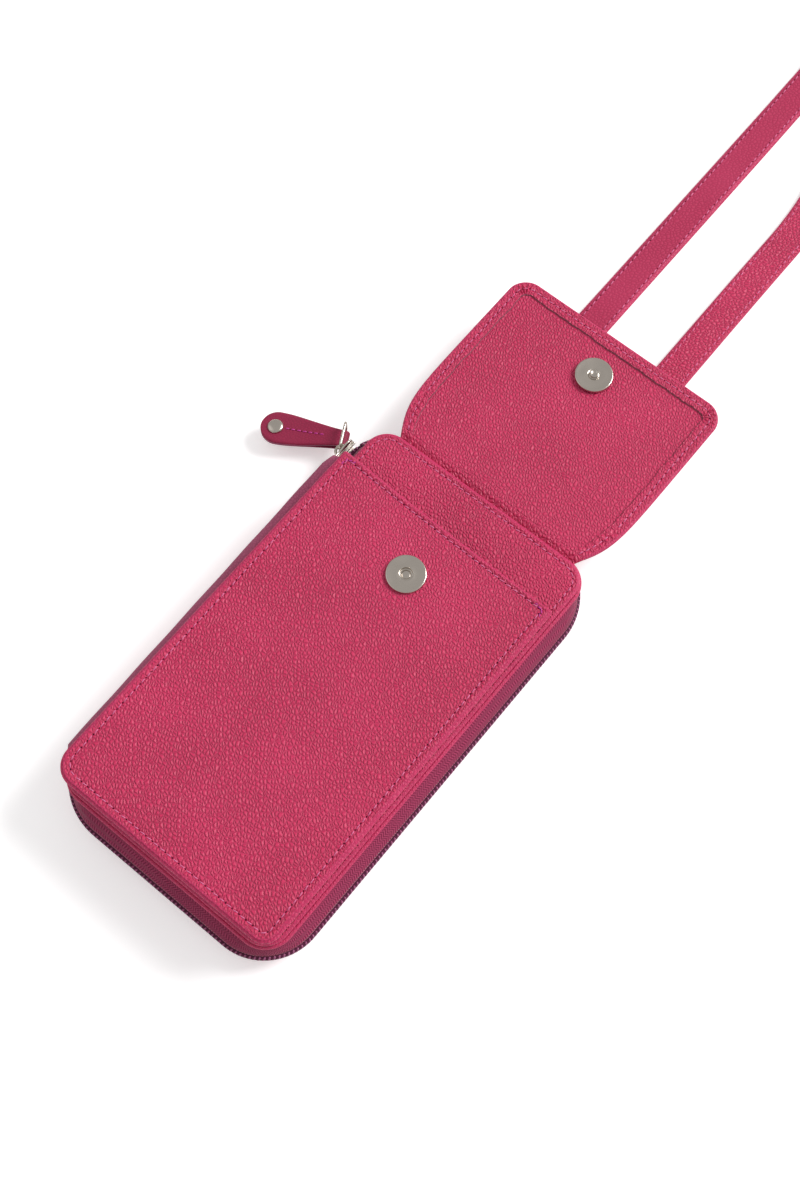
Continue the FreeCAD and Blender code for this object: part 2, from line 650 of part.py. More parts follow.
tab_block = Part.Face(tab_outline(-tab_half)).extrude(up * (2 * tab_half))
fold_bow = Part.makeCylinder(tab_half, 2 * s.tab_wide, tab_point(0, -s.tab_wide, 0), ahead)
fold_front = across_tab([(0, -2 * tab_half), (0, 2 * tab_half), (-2 * tab_half, 2 * tab_half),
                         (-2 * tab_half, -2 * tab_half)]).cut(fold_bow)
fold_hole = Part.makeCylinder(fold_radius, 2 * s.tab_wide, tab_point(0, -s.tab_wide, 0), ahead)
fold_gap = across_tab([(0, fold_radius), (s.tab_length / 2, 0), (0, -fold_radius)])
ring_slot = oblong_ring(fold_radius)
rivet_at = s.tab_length - s.rivet_edge
rivet_hole = Part.makeCylinder(s.rivet_radius / 2, 4 * tab_half, tab_point(rivet_at, 0, -2 * tab_half))
pull_tab = keep(doc.addObject("Part::Feature", "pull_tab"))
pull_tab.Shape = tab_block.cut([fold_front, fold_hole, fold_gap, ring_slot, taper(1), taper(-1), rivet_hole])
rivet_cap = Part.makeCylinder(s.rivet_radius, s.rivet_dome, tab_point(rivet_at, 0, s.tab_leather))
rivet_cap = rivet_cap.makeFillet(s.rivet_dome / 2, [edge for edge in rivet_cap.Edges
                                                    if level(edge, bar.z + s.tab_leather + s.rivet_dome)])
rivet_foot = Part.makeCylinder(s.rivet_radius, s.rivet_dome / 2, tab_point(rivet_at, 0, -s.tab_leather - s.rivet_dome / 2))
rivet_post = Part.makeCylinder(s.rivet_radius / 2, 2 * s.tab_leather, tab_point(rivet_at, 0, -s.tab_leather))
pull_rivet = keep(doc.addObject("Part::Feature", "pull_rivet"))
pull_rivet.Shape = rivet_cap.fuse([rivet_post, rivet_foot]).removeSplitter()

# Shoulder strap: two ends caught in the back's top seam, two flat runs, a quarter twist in each, and
# the rest doubled and rolled up on its edge.
seam_y = s.panel_length / 2
for side, sign in (("left", "-"), ("right", "")):
    keep(box(f"strap_end_{side}", "strap_width", "strap_end - board_inset", "board_thick",
             f"{sign}strap_apart / 2 - strap_width / 2", "panel_length / 2 - strap_end + board_inset",
             "cover_thick"))
    keep(box(f"strap_{side}", "strap_width", f"strap_{side}_run", "strap_thick",
             f"{sign}strap_apart / 2 - strap_width / 2", "panel_length / 2", "strap_lift"))

roll_x = -s.strap_apart / 2 + s.roll_radius
roll_y = seam_y + s.roll_far


def half_turns(radius, count):
    """The roll's half turns, each a layer tighter, as (centre x, radius, true over the far side)."""
    turns = []
    for k in range(count):
        turns.append((roll_x + (k % 2) * s.roll_layer, radius - k * s.roll_layer, k % 2 == 0))
    return turns


def half_arc(x, radius, far, back=False):
    """A half circle clockwise from the left over the far side, or from the right over the near side."""
    way = 1 if far else -1
    points = [V(x - way * radius, roll_y, s.strap_lift), V(x, roll_y + way * radius, s.strap_lift),
              V(x + way * radius, roll_y, s.strap_lift)]
    if back:
        points.reverse()
    return Part.Arc(*points).toShape()


TURNS_IN_ROLL = 4
turns_in = half_turns(s.roll_radius, TURNS_IN_ROLL)
turns_out = half_turns(s.roll_radius - s.roll_layer, TURNS_IN_ROLL)
bight_x = roll_x - s.roll_radius + TURNS_IN_ROLL * s.roll_layer + s.roll_layer / 2
half_thick = s.strap_thick / 2
one_face = [half_arc(x, radius + half_thick, far) for x, radius, far in turns_in]
one_face.append(half_arc(bight_x, s.roll_layer / 2 + half_thick, True))
one_face += [half_arc(x, radius - half_thick, far, back=True) for x, radius, far in reversed(turns_out)]
other_face = [half_arc(x, radius + half_thick, far) for x, radius, far in turns_out]
other_face.append(half_arc(bight_x, s.roll_layer / 2 - half_thick, True, back=True))
other_face += [half_arc(x, radius - half_thick, far, back=True) for x, radius, far in reversed(turns_in)]
inlet = [V(roll_x - s.roll_radius, roll_y, s.strap_lift), V(roll_x - s.roll_radius + s.roll_layer, roll_y, s.strap_lift)]


def end_line(point, way):
    step = V(half_thick * way, 0, 0)
    return Part.LineSegment(point - step, point + step).toShape()


roll_wire = Part.Wire(Part.__sortEdges__(one_face + other_face + [end_line(inlet[0], 1), end_line(inlet[1], 1)]))
strap_roll = keep(doc.addObject("Part::Feature", "strap_roll"))
strap_roll.Shape = Part.Face(roll_wire).extrude(V(0, 0, s.strap_width))


def twist(label, start, end, steps):
    """A loft from the flat run to the roll: the section turns a quarter, on the table, along an S curve."""
    wires = []
    for step in range(steps + 1):
        share = step / steps
        ease = share * share * (3 - 2 * share)
        turn_now = math.radians(90 * ease)
        rest = s.strap_lift + s.strap_width / 2 * math.sin(abs(turn_now)) + half_thick * math.cos(turn_now)
        middle = V(start.x + (end.x - start.x) * ease, start.y + (end.y - start.y) * share, rest)
        wide = V(math.cos(turn_now), 0, math.sin(turn_now)) * (s.strap_width / 2)
        thick = V(-math.sin(turn_now), 0, math.cos(turn_now)) * (s.strap_thick / 2)
        corners = [middle - wide - thick, middle + wide - thick, middle + wide + thick, middle - wide + thick]
        wires.append(Part.makePolygon(corners + corners[:1]))
    item = doc.addObject("Part::Feature", label)
    item.Label = label
    item.Shape = Part.makeLoft(wires, True, True)
    return item


for side, run, entry in (("left", s.strap_left_run, inlet[0]), ("right", s.strap_right_run, inlet[1])):
    across_x = s.strap_apart / 2 * (-1 if side == "left" else 1)
    keep(twist(f"strap_twist_{side}", V(across_x, seam_y + run, 0), entry, 8))

roll_length = sum(math.pi * radius for x, radius, far in turns_in + turns_out) + math.pi * s.roll_layer / 2
strap_length = s.strap_left_run + s.strap_right_run + roll_length
strap_length += math.hypot(s.roll_far - s.strap_left_run, 0)
strap_length += math.hypot(s.roll_far - s.strap_right_run, s.strap_apart - s.roll_layer)
print(f"strap: {strap_length:.0f} mm outside the seams, roll layers {s.roll_layer - s.strap_thick:.1f} mm apart,"
      f" tightest bend {s.roll_layer / 2:.1f} mm")
print("roll radii:", ", ".join(f"{radius:.1f}" for x, radius, far in turns_in))

doc.recompute()
bad = [item.Label for item in doc.Objects if "Invalid" in item.State or "Error" in item.State]
for item in nodes:
    shape = item.Shape
    if shape.isNull() or not shape.isValid() or not shape.Solids:
        bad.append(item.Label)
if bad:
    raise SystemExit(f"failed: {sorted(set(bad))}")

os.makedirs("parts", exist_ok=True)
for item in nodes:
    item.Shape.exportStep(f"parts/{item.Label}.step")
    size_box = item.Shape.BoundBox
    print(f"{item.Label:20s} {len(item.Shape.Solids)} {item.Shape.Volume:10.1f}"
          f" {size_box.XMin:8.2f} {size_box.YMin:8.2f} {size_box.ZMin:7.2f}"
          f" {size_box.XMax:8.2f} {size_box.YMax:8.2f} {size_box.ZMax:7.2f}")
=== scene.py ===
import math
from functools import partial

import bpy
import numpy as np
from mathutils import Matrix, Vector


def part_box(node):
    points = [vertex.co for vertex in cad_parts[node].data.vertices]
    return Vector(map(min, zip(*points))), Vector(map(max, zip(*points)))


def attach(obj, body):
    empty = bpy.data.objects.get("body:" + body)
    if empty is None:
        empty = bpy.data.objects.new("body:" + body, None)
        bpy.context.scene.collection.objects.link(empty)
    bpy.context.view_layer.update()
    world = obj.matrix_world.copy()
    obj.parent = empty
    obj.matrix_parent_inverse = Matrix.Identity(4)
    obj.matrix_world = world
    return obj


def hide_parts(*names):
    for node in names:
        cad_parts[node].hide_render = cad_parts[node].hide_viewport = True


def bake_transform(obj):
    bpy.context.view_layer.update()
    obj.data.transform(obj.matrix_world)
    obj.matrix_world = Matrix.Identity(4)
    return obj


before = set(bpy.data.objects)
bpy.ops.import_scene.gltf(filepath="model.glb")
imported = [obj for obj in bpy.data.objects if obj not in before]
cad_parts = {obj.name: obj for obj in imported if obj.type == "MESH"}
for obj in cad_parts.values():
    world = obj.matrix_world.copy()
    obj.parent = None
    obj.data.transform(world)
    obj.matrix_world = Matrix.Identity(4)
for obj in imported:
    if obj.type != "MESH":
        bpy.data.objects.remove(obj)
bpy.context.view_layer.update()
mm = 0.001  # shapes are worked out in millimetres and put into the meshes in metres
zUp = np.array([0.0, 0.0, 1.0])


# Finishes.
def hexColour(code):  # sRGB hex to the linear colour that the sockets take
    parts = [int(code[i:i + 2], 16) / 255 for i in (1, 3, 5)]
    return tuple(p / 12.92 if p <= 0.04045 else ((p + 0.055) / 1.055) ** 2.4 for p in parts) + (1.0,)


# Inputs by name or in order: a socket is linked, a hex code becomes a colour, and any other value is set.
def setSockets(tree, node, inputs):
    for key, value in inputs.items() if isinstance(inputs, dict) else enumerate(inputs):
        if isinstance(value, bpy.types.NodeSocket):
            tree.links.new(value, node.inputs[key])
        else:
            node.inputs[key].default_value = hexColour(value) if isinstance(value, str) else value


def addNode(tree, kind, inputs=None, out=0, **settings):  # a node with its settings and links, for its output
    made = tree.nodes.new("ShaderNode" + kind)
    for key, value in settings.items():
        setattr(made, key, value)
    setSockets(tree, made, inputs or {})
    return made.outputs[out]


def newFinish(name):  # a material, with the ways to add nodes to it and to set its shader
    material = bpy.data.materials.new(name)
    material.use_nodes = True
    tree = material.node_tree
    shader = next(n for n in tree.nodes if n.type == "BSDF_PRINCIPLED")
    return material, partial(addNode, tree), partial(setSockets, tree, shader)


# Shrunken-grain cowhide: soft pebbles between one and two millimetres long that catch the light on their
# tops, with fine creases between them darkened by painted shade, and a satin gloss.
def pebbledLeather(name, look):
    material, add, shade = newFinish(name)
    surface = add("Mapping", {"Vector": add("TexCoord", out="UV"), "Scale": (1.0, look["stretch"], 1.0),
                              "Rotation": (0, 0, look["turn"])}, vector_type="TEXTURE")
    drift = add("TexNoise", {"Vector": surface, "Detail": 1.0, "Scale": 1 / look["drift"]}, out="Color",
                noise_dimensions="2D")
    warped = add("VectorMath", (drift, (look["warp"],) * 3, surface), operation="MULTIPLY_ADD")
    pebble = add("TexVoronoi", {"Vector": warped, "Scale": 1 / look["grain"]}, out="Distance",
                 feature="DISTANCE_TO_EDGE", voronoi_dimensions="2D")
    pore = add("TexNoise", {"Vector": warped, "Detail": 3.0, "Scale": 1 / look["pore"]},
               noise_dimensions="2D")
    patch = add("TexNoise", {"Vector": add("TexCoord", out="Object"), "Scale": 1 / (look["patch"] * mm)})
    crown = add("MapRange", {"Value": pebble, "From Max": look["crown"]}, interpolation_type="SMOOTHSTEP")
    height = add("Math", (pore, look["poreShare"], crown), operation="MULTIPLY_ADD")
    bump = add("Bump", {"Height": height, "Strength": look["bump"], "Distance": look["depth"] * mm})
    # The creases take the darker colour: painted shade between the pebbles.
    crease = add("MapRange", {"Value": crown, "From Max": look["crease"]})
    body = add("Mix", {0: crease, 6: look["paintedCreaseShade"], 7: look["face"]}, out=2, data_type="RGBA")
    worn = add("MapRange", {"Value": patch, "From Min": look["wornFrom"], "From Max": look["wornTo"],
                            "To Max": look["paleShare"]})
    tone = add("Mix", {0: worn, 6: body, 7: look["pale"]}, out=2, data_type="RGBA")
    satin = add("MapRange", {"Value": crown, "To Min": look["rough"] + look["creaseDull"],
                             "To Max": look["rough"]})
    shade({"IOR": look["ior"], "Specular IOR Level": look["gloss"], "Base Color": tone, "Roughness": satin,
           "Normal": bump})
    return material


# Woven cloth and zip tape: threads crossing at a fixed spacing along the piece's own u and v, in millimetres.
# The slant of the threads turns back at each rib.
def wovenCloth(name, look):
    material, add, shade = newFinish(name)
    u, v = [add("SeparateXYZ", {"Vector": add("TexCoord", out="UV")}, out=axis) for axis in "XY"]
    shifted = add("Math", (v, look["rib"] / 2), operation="ADD")
    fold = add("Math", (shifted, look["rib"]), operation="PINGPONG")
    slant = add("Math", (fold, u), operation="ADD")
    phase = add("Math", (slant, 2 * math.pi / look["thread"]), operation="MULTIPLY")
    raised = add("MapRange", {"Value": add("Math", (phase,), operation="SINE"), "From Min": -1.0})
    fuzz = add("TexNoise", {"Vector": add("TexCoord", out="Object"), "Detail": 3.0,
                            "Scale": 1 / (look["fuzz"] * mm)})
    height = add("Math", (fuzz, look["fuzzShare"], raised), operation="MULTIPLY_ADD")
    bump = add("Bump", {"Height": height, "Strength": look["bump"], "Distance": look["depth"] * mm})
    weave = add("Mix", {0: raised, 6: look["gap"], 7: look["weft"]}, out=2, data_type="RGBA")
    shade({"Specular IOR Level": look["gloss"], "Sheen Weight": look["sheen"],
           "Sheen Roughness": look["sheenRough"], "Roughness": look["rough"], "Base Color": weave,
           "Normal": bump})
    return material


uneven = {"from": 0.3, "to": 0.7, "roughShift": 0.08, "bump": 0.5}


# Solid finishes with a little unevenness, its specks and depth in millimetres.
def unevenFinish(name, speck, dark, light, rough, gloss, depth):
    material, add, shade = newFinish(name)
    specks = add("TexNoise", {"Vector": add("TexCoord", out="Object"), "Detail": 3.0,
                              "Scale": 1 / (speck * mm)})
    spread = add("MapRange", {"Value": specks, "From Min": uneven["from"], "From Max": uneven["to"]})
    tone = add("Mix", {0: spread, 6: dark, 7: light}, out=2, data_type="RGBA")
    dull = add("MapRange", {"Value": specks, "To Min": rough - uneven["roughShift"],
                            "To Max": rough + uneven["roughShift"]})
    bump = add("Bump", {"Height": specks, "Strength": uneven["bump"], "Distance": depth * mm})
    shade({"Specular IOR Level": gloss, "Base Color": tone, "Roughness": dull, "Normal": bump})
    return material


# Nickel plate on pressed steel: a warm grey mirror, dulled by fine handling marks.
nickel = {"colour": "#C4BBB1", "smear": 6.0, "from": 0.3, "to": 0.7, "smooth": 0.21, "dull": 0.28,
          "scratch": 0.5, "drawn": (1.0, 0.06, 1.0), "turn": 0.7, "bump": 0.08, "depth": 0.02}


def nickelPlate(name, look):
    material, add, shade = newFinish(name)
    place = add("TexCoord", out="Object")
    smear = add("TexNoise", {"Vector": place, "Detail": 4.0, "Scale": 1 / (look["smear"] * mm)})
    drawn = add("Mapping", {"Vector": place, "Scale": look["drawn"], "Rotation": (0, 0, look["turn"])})
    lines = add("TexNoise", {"Vector": drawn, "Scale": 1 / (look["scratch"] * mm)})
    dull = add("MapRange", {"Value": smear, "From Min": look["from"], "From Max": look["to"],
                            "To Min": look["smooth"], "To Max": look["dull"]})
    bump = add("Bump", {"Height": lines, "Strength": look["bump"], "Distance": look["depth"] * mm})
    shade({"Metallic": 1.0, "Base Color": look["colour"], "Roughness": dull, "Normal": bump})
    return material


# Grain is drawn about a fifth coarser than on the hide, so that it shows at the render's size.
hide = {"grain": 1.2, "stretch": 1.4, "crown": 0.42, "crease": 0.4, "drift": 2.6, "warp": 0.8, "pore": 0.5,
        "poreShare": 0.1, "patch": 30.0, "wornFrom": 0.35, "wornTo": 0.7, "bump": 1.0, "depth": 0.34,
        "rough": 0.5, "creaseDull": 0.12, "gloss": 0.85, "ior": 1.45, "turn": 0.69, "paleShare": 0.45,
        "paintedCreaseShade": "#A61446", "face": "#C81752", "pale": "#D2245D"}
liningHide = dict(hide, bump=0.6, depth=0.16, rough=0.55, gloss=0.35, paintedCreaseShade="#9C2347", face="#B22D54",
                  pale="#B6335A")
tabHide = dict(hide, grain=0.9, bump=0.5, depth=0.1, gloss=0.4, turn=-0.5, paintedCreaseShade="#7E1639", face="#8E1B40",
               pale="#982146")
rimHide = dict(hide, grain=1.1, bump=0.6, depth=0.2, gloss=0.6, paintedCreaseShade="#A81E4E", face="#C2265A",
               pale="#CA3264")
# The gusset's colours are darkened with painted shade.
gussetShadeHide = dict(tabHide, gloss=0.12, rough=0.75, paintedCreaseShade="#641231", face="#761739", pale="#7E1C40")
# The fold's colours are greyed with painted sheen and darkened with painted shade.
foldSheenShadeHide = dict(tabHide, gloss=0.35, rough=0.6, paintedCreaseShade="#863653", face="#9C4464", pale="#A44E6C")
# Threads of the tape and the lining are drawn at about twice their usual spacing, so that they show.
woven = {"thread": 1.0, "fuzz": 0.3, "fuzzShare": 0.35, "bump": 0.7, "rough": 0.85, "gloss": 0.2,
         "sheen": 0.25, "sheenRough": 0.4}
tapeWeave = dict(woven, rib=1.25, depth=0.2, gap="#761D3E", weft="#A83F62")
liningWeave = dict(woven, rib=400.0, thread=0.9, depth=0.1, gap="#8C2E4C", weft="#AE4666")
finish = {
    "leather": pebbledLeather("shrunken_grain_cowhide", hide),
    "lining": pebbledLeather("smooth_split_leather", liningHide),  # flatter and duller
    "tab": pebbledLeather("pull_tab_cowhide", tabHide),  # a darker, smoother cut
    "edge": pebbledLeather("stretched_turned_edge", rimHide),  # grain pulled flat over the edge
    "gusset": pebbledLeather("skived_gusset_leather_painted_shade", gussetShadeHide),  # thin and matt, darkened with painted shade
    "fold": pebbledLeather("gusset_fold_leather_painted_sheen_and_shade", foldSheenShadeHide),  # greyer where it folds out, with painted sheen and shade
    "tape": wovenCloth("herringbone_zip_tape", tapeWeave),  # slanted ribs with a soft sheen
    "cloth": wovenCloth("twill_lining_cloth", liningWeave),  # one long slant
    "nickel": nickelPlate("nickel_plated_steel", nickel),
    "cut": unevenFinish("raw_cut_leather", speck=0.7, dark="#6A3844", light="#9C5C6C", rough=0.85,
                        gloss=0.1, depth=0.1),  # fibrous and grey
    "paint": unevenFinish("sealed_leather_edge", speck=1.4, dark="#8E3E5C", light="#A65474", rough=0.55,
                          gloss=0.35, depth=0.06),  # smooth, half matt
    "thread": unevenFinish("bonded_polyester_thread", speck=0.3, dark="#B84070", light="#E47CA6", rough=0.45,
                           gloss=0.45, depth=0.05),  # paler than the leather, with a sheen
    "tack": unevenFinish("tacking_thread", speck=0.3, dark="#A81E7A", light="#CC3C9C", rough=0.45,
                         gloss=0.45, depth=0.05),  # the same thread, more violet
    "hole": unevenFinish("needle_hole_painted_shade", speck=0.4, dark="#3C0A1E", light="#5A122E", rough=0.8,
                         gloss=0.1, depth=0.03),  # pricked leather, a dark disc of painted shade
    "coil": unevenFinish("nylon_zip_coil", speck=0.5, dark="#7C3058", light="#AE5E88", rough=0.32,
                         gloss=0.5, depth=0.03),  # moulded, rather glossy
    "cord": unevenFinish("nylon_coil_cord_painted_shade", speck=0.5, dark="#45122C", light="#5E1E40", rough=0.6,
                         gloss=0.2, depth=0.03),  # darkened with painted shade between the beads
    "flesh": unevenFinish("leather_flesh_side", speck=0.5, dark="#8E2F4C", light="#A84462", rough=0.9,
                          gloss=0.1, depth=0.08),  # brushed and matt
    "board": unevenFinish("bonded_leather_board", speck=0.6, dark="#6E5F50", light="#8A7864", rough=0.85,
                          gloss=0.1, depth=0.1),  # pressed brown fibre
}
print("finishes:", len(finish))


# Shapes.
def boxOf(node):  # a node's low and high corners in millimetres
    return np.array([list(corner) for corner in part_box(node)]) / mm


def smooth(t, start, end):  # eases from 0 at the start to 1 at the end
    t = np.clip((t - start) / (end - start), 0, 1)
    return t * t * (3 - 2 * t)


def bell(t, middle, wide):  # e to minus the square of the distance from the middle, in widths
    return np.exp(-((t - middle) / wide) ** 2)


def unit(vectors):  # each divided by its length
    return vectors / (np.linalg.norm(vectors, axis=-1, keepdims=True) + 1e-9)


def runOf(line):  # the length along a line, up to each point
    return np.r_[0, np.cumsum(np.linalg.norm(np.diff(line, axis=0), axis=1))]


def sampled(values, steps, where):  # values of a line at lengths along it
    return np.stack([np.interp(where, steps, column) for column in values.T], 1)


def circle(count):  # cosine and sine at even steps round a full turn
    turn = np.radians(np.arange(count) * 360 / count)
    return np.cos(turn), np.sin(turn)


def gridOf(*parts):  # coordinates spread over one grid and put together point by point
    return np.stack(np.broadcast_arrays(*parts), -1)


def lifted(flat, z):  # a flat line set at a height
    return np.column_stack([flat, np.full(len(flat), z)])


def leftOf(line):  # the level direction to the left of a flat line
    ahead = unit(np.gradient(line, axis=0))
    return gridOf(-ahead[:, 1], ahead[:, 0])


def gridFaces(rows, cols, wrap=True):  # quads between neighbouring rows of a grid of points
    r, c = np.meshgrid(np.arange(rows - 1), np.arange(cols if wrap else cols - 1), indexing="ij")
    after = (c + 1) % cols
    r, under = r * cols, (r + 1) * cols
    return gridOf(r + c, r + after, under + after, under + c).reshape(-1, 4)


def tubeFaces(rows, cols, count=1, start=0):  # like tubes one after another, each with a face at both ends
    first = start + rows * cols * np.arange(count)[:, None, None]
    ends = np.stack([np.arange(cols)[::-1], np.arange(cols) + (rows - 1) * cols])
    return (gridFaces(rows, cols) + first).reshape(-1, 4).tolist() + (ends + first).reshape(-1, cols).tolist()


def addObject(name, data, axes=None, place=None):  # in the scene, and turned and placed where axes are given
    made = bpy.data.objects.new(name, data)
    bpy.context.scene.collection.objects.link(made)
    if axes is not None:
        turned = np.eye(4)
        turned[:3, :3], turned[:3, 3] = np.transpose(axes), place
        made.matrix_world = Matrix(turned.tolist())
    return made


# A mesh from points in millimetres with its faces turned outwards, its finishes, and the body it rides on.
def addPiece(name, points, faces, finishes, body, slots=None, uv=None):
    points = np.asarray(points, float).reshape(-1, 3)
    mesh = bpy.data.meshes.new(name)
    mesh.from_pydata((points * mm).tolist(), [], faces)
    for key in finishes:
        mesh.materials.append(finish[key])
    if slots is not None:
        mesh.polygons.foreach_set("material_index", np.asarray(slots, dtype=np.int32))
    mesh.polygons.foreach_set("use_smooth", np.full(len(mesh.polygons), True))
    if uv is not None:
        loops = np.zeros(len(mesh.loops), dtype=np.int32)
        mesh.loops.foreach_get("vertex_index", loops)
        layer = mesh.uv_layers.new(name="surface")
        layer.data.foreach_set("uv", np.reshape(uv, (-1, 2))[loops].ravel())
    mesh.validate()
    mesh.calc_loop_triangles()
    corners = np.zeros(3 * len(mesh.loop_triangles), dtype=np.int32)
    mesh.loop_triangles.foreach_get("vertices", corners)
    a, b, c = points[corners].reshape(-1, 3, 3).transpose(1, 0, 2)
    if np.sum(a * np.cross(b, c)) < 0:  # a closed shell whose faces point inwards has a negative volume
        mesh.flip_normals()
    mesh.update()
    piece = addObject(name, mesh)
    if body:
        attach(piece, body)
    return piece


# A closed piece from rows of points: each row is a ring, and a face closes each end unless the last row
# runs on into the first. Slots are given for the rows or for the columns.
def tubePiece(name, points, finishes, body, slots=None, endSlots=(0, 0), uv=None, endless=False):
    rows, cols = points.shape[:2]
    if slots is not None:
        slots = np.r_[np.broadcast_to(slots, (rows - 1, cols)).ravel(), endSlots]
    faces = (gridFaces(rows + 1, cols) % (rows * cols)).tolist() if endless else tubeFaces(rows, cols)
    return addPiece(name, points, faces, finishes, body, slots, uv)


# Rows of like tubes in one piece: each part is an array by tube, ring and point, and has a finish of its own.
def tubesPiece(name, parts, finishes, body):
    faces, slots, start = [], [], 0
    for n, part in enumerate(parts):
        count, rows, cols = part.shape[:3]
        faces += tubeFaces(rows, cols, count, start)
        slots += [n] * (len(faces) - len(slots))
        start += count * rows * cols
    return addPiece(name, np.vstack([part.reshape(-1, 3) for part in parts]), faces, finishes, body, slots)


# A rounded rectangle drawn in by an inset: four sides and four quarter arcs with a fixed number of points
# each, so that rings of any inset match point for point.
def ringOf(shape, inset, z):
    a, isOpen = shape["halfWide"] - inset, "foldRun" in shape
    low, high = shape["low"] + (0 if isOpen else inset), shape["high"] - inset
    radii = np.minimum(np.maximum(np.array(shape["corners"]) - inset, shape.get("innerCorner", 0.25)),
                       0.9 * a)
    m, k = shape["sidePoints"], shape["cornerPoints"]
    t = np.arange(m) / m
    if isOpen:  # the sides' first points stand at the same y on every ring, where the leather folds
        radii[:2] = 0.0
        fold = shape["foldRun"] / (high - radii[2] - low)
        t = np.interp(np.arange(m), [0, m * shape["foldShare"], m], [0, fold, 1])
    middles = gridOf(np.array([-1, 1, 1, -1]) * (a - radii), np.r_[low + radii[:2], high - radii[2:]])
    rows = []
    for n, after in enumerate((1, 2, 3, 0)):
        if n == 3:
            t = 1 - np.append(t, 1.0)[:0:-1]
        turn = np.radians(-90 + 90 * n + 90 * np.arange(k) / k)
        spoke = gridOf(np.cos(turn), np.sin(turn))
        start, end = middles[n] + radii[n] * spoke[0], middles[after] + radii[after] * spoke[0]
        rows += [start + (end - start) * t[:, None], middles[after] + radii[after] * spoke]
    return lifted(np.concatenate(rows), z)


# The section of a leather panel from the middle of its underside, round its turned edge and over its face.
def panelSection(look, face, top, skip):
    bend = np.radians(np.linspace(-90, 90, 9))
    under = face[::-skip]
    insets = np.r_[under, look["edge"] * (1 - np.cos(bend)), face]
    heights = np.r_[0 * under, look["thick"] / 2 * (1 + np.sin(bend)), top]
    return insets, heights, np.repeat([0, 1, 2], [len(under), len(bend), len(face)])


# A leather panel as rings of its outline. Height over the inset d is thick, less a groove at the seam, plus
# a roll outside it and a soft swell inside it.
panelGrid = {"fineTo": 7.0, "fineRings": 26, "rings": 16, "middle": 2.0}


def panelPiece(name, shape, look, z, body, finishes=("leather", "edge"), warp=None):
    inner = min(shape["halfWide"], (shape["high"] - shape["low"]) / 2) - panelGrid["middle"]
    face = np.unique(np.r_[np.linspace(look["edge"], panelGrid["fineTo"], panelGrid["fineRings"]),
                           np.geomspace(panelGrid["fineTo"], inner, panelGrid["rings"])])
    seam = look["seam"]
    top = look["thick"] - look["groove"] * bell(face, seam, look["seamWide"])
    top += look["swell"] * (1 - np.exp(-np.clip(face - seam, 0, None) / look["swellRun"]))
    top += look["rollUp"] * bell(face, seam / 2, seam / 2.2)
    insets, heights, part = panelSection(look, face, top, 2)
    points = np.stack([ringOf(shape, d, z + h) for d, h in zip(insets, heights)])
    if warp is not None:
        points = warp(points)
    turned = (part < 2) | (insets < seam / 2)  # the edge's finish reaches half way to the seam
    return tubePiece(name, points, finishes, body, turned[1:, None], (1, 0), points[..., :2])


# A row of stitches: a small capsule per pitch along a line, sunk a little, with a needle hole between two.
capsule = np.array([(-0.5, 0.25, -0.55), (-0.38, 0.8, -0.1), (0.0, 1.0, 0.25), (0.38, 0.8, -0.1),
                    (0.5, 0.25, -0.55)])  # shares of the stitch's length, girth and height
stitchLook = {"pitch": 3.1, "length": 2.3, "wide": 0.55, "high": 0.42, "slant": 0.12, "hole": 0.52,
              "holeLift": 0.02, "holeDeep": 0.1, "sight": 0.4}


def stitchRow(name, line, look, body, up=zUp, closed=False, yarn="thread"):
    ups = np.broadcast_to(up, line.shape)
    if closed:
        line, ups = np.vstack([line, line[:1]]), np.vstack([ups, ups[:1]])
    steps = runOf(line)
    count = max(2, int(round(steps[-1] / look["pitch"])))

    def setDown(shape, where):  # a small shape of (along, aside, up) points at each place on the line
        before, after = np.maximum(where - look["sight"], 0), np.minimum(where + look["sight"], steps[-1])
        along = unit(sampled(line, steps, after) - sampled(line, steps, before))
        lift = sampled(ups, steps, where)
        lift = unit(lift - along * np.sum(along * lift, 1)[:, None])
        axes = np.stack([along, np.cross(lift, along), lift], 1)
        return sampled(line, steps, where)[:, None, None] + shape @ axes[:, None]

    cos, sin = circle(6)
    reach, girth, bow = (capsule * [look["length"], 1.0, look["high"]]).T[..., None]
    stitch = gridOf(reach, girth * cos * look["wide"] / 2 + reach * look["slant"],
                    girth * sin * look["high"] / 2 + bow)
    depth = look["holeLift"] - np.array([[look["holeDeep"]], [0.0]])
    # The needle hole: a shallow disc, darkened with painted shade.
    hole = gridOf(cos * look["hole"] / 2, sin * look["hole"] / 2, depth)
    stitches = setDown(stitch, (np.arange(count) + 0.5) * steps[-1] / count)
    holes = setDown(hole, np.arange(1, count) * steps[-1] / count)
    return tubesPiece(name, (stitches, holes), (yarn, "hole"), body)


# A turned part: a half profile of (radius, height) points spun about Z, closed at both poles.
def lathePiece(name, profile, middle, body, turns=72):
    radius, height = np.array(profile).T[..., None]
    cos, sin = circle(turns)
    return tubePiece(name, middle + gridOf(radius * cos, radius * sin, height), ("nickel",), body)


def swept(path, across, up, section):  # a section's (across, up) values laid on two axes along a path
    return (path[:, None] + section[:, :1] * np.atleast_2d(across)[:, None]
            + section[:, 1:] * np.atleast_2d(up)[:, None])


def roundBar(wide, thick, crown=0.0, count=9):  # a flat bar's section with half-round edges and a crowned top
    bend = np.radians(np.linspace(-90, 90, count))
    r = thick / 2
    right = gridOf(wide / 2 - r + r * np.cos(bend), r * np.sin(bend))
    span = np.linspace(wide / 2 - r, -wide / 2 + r, 13)[1:-1]
    top = gridOf(span, r + crown * (1 - (2 * span / wide) ** 2))
    return np.vstack([right, top, -right, gridOf(span[::-1], -r)])


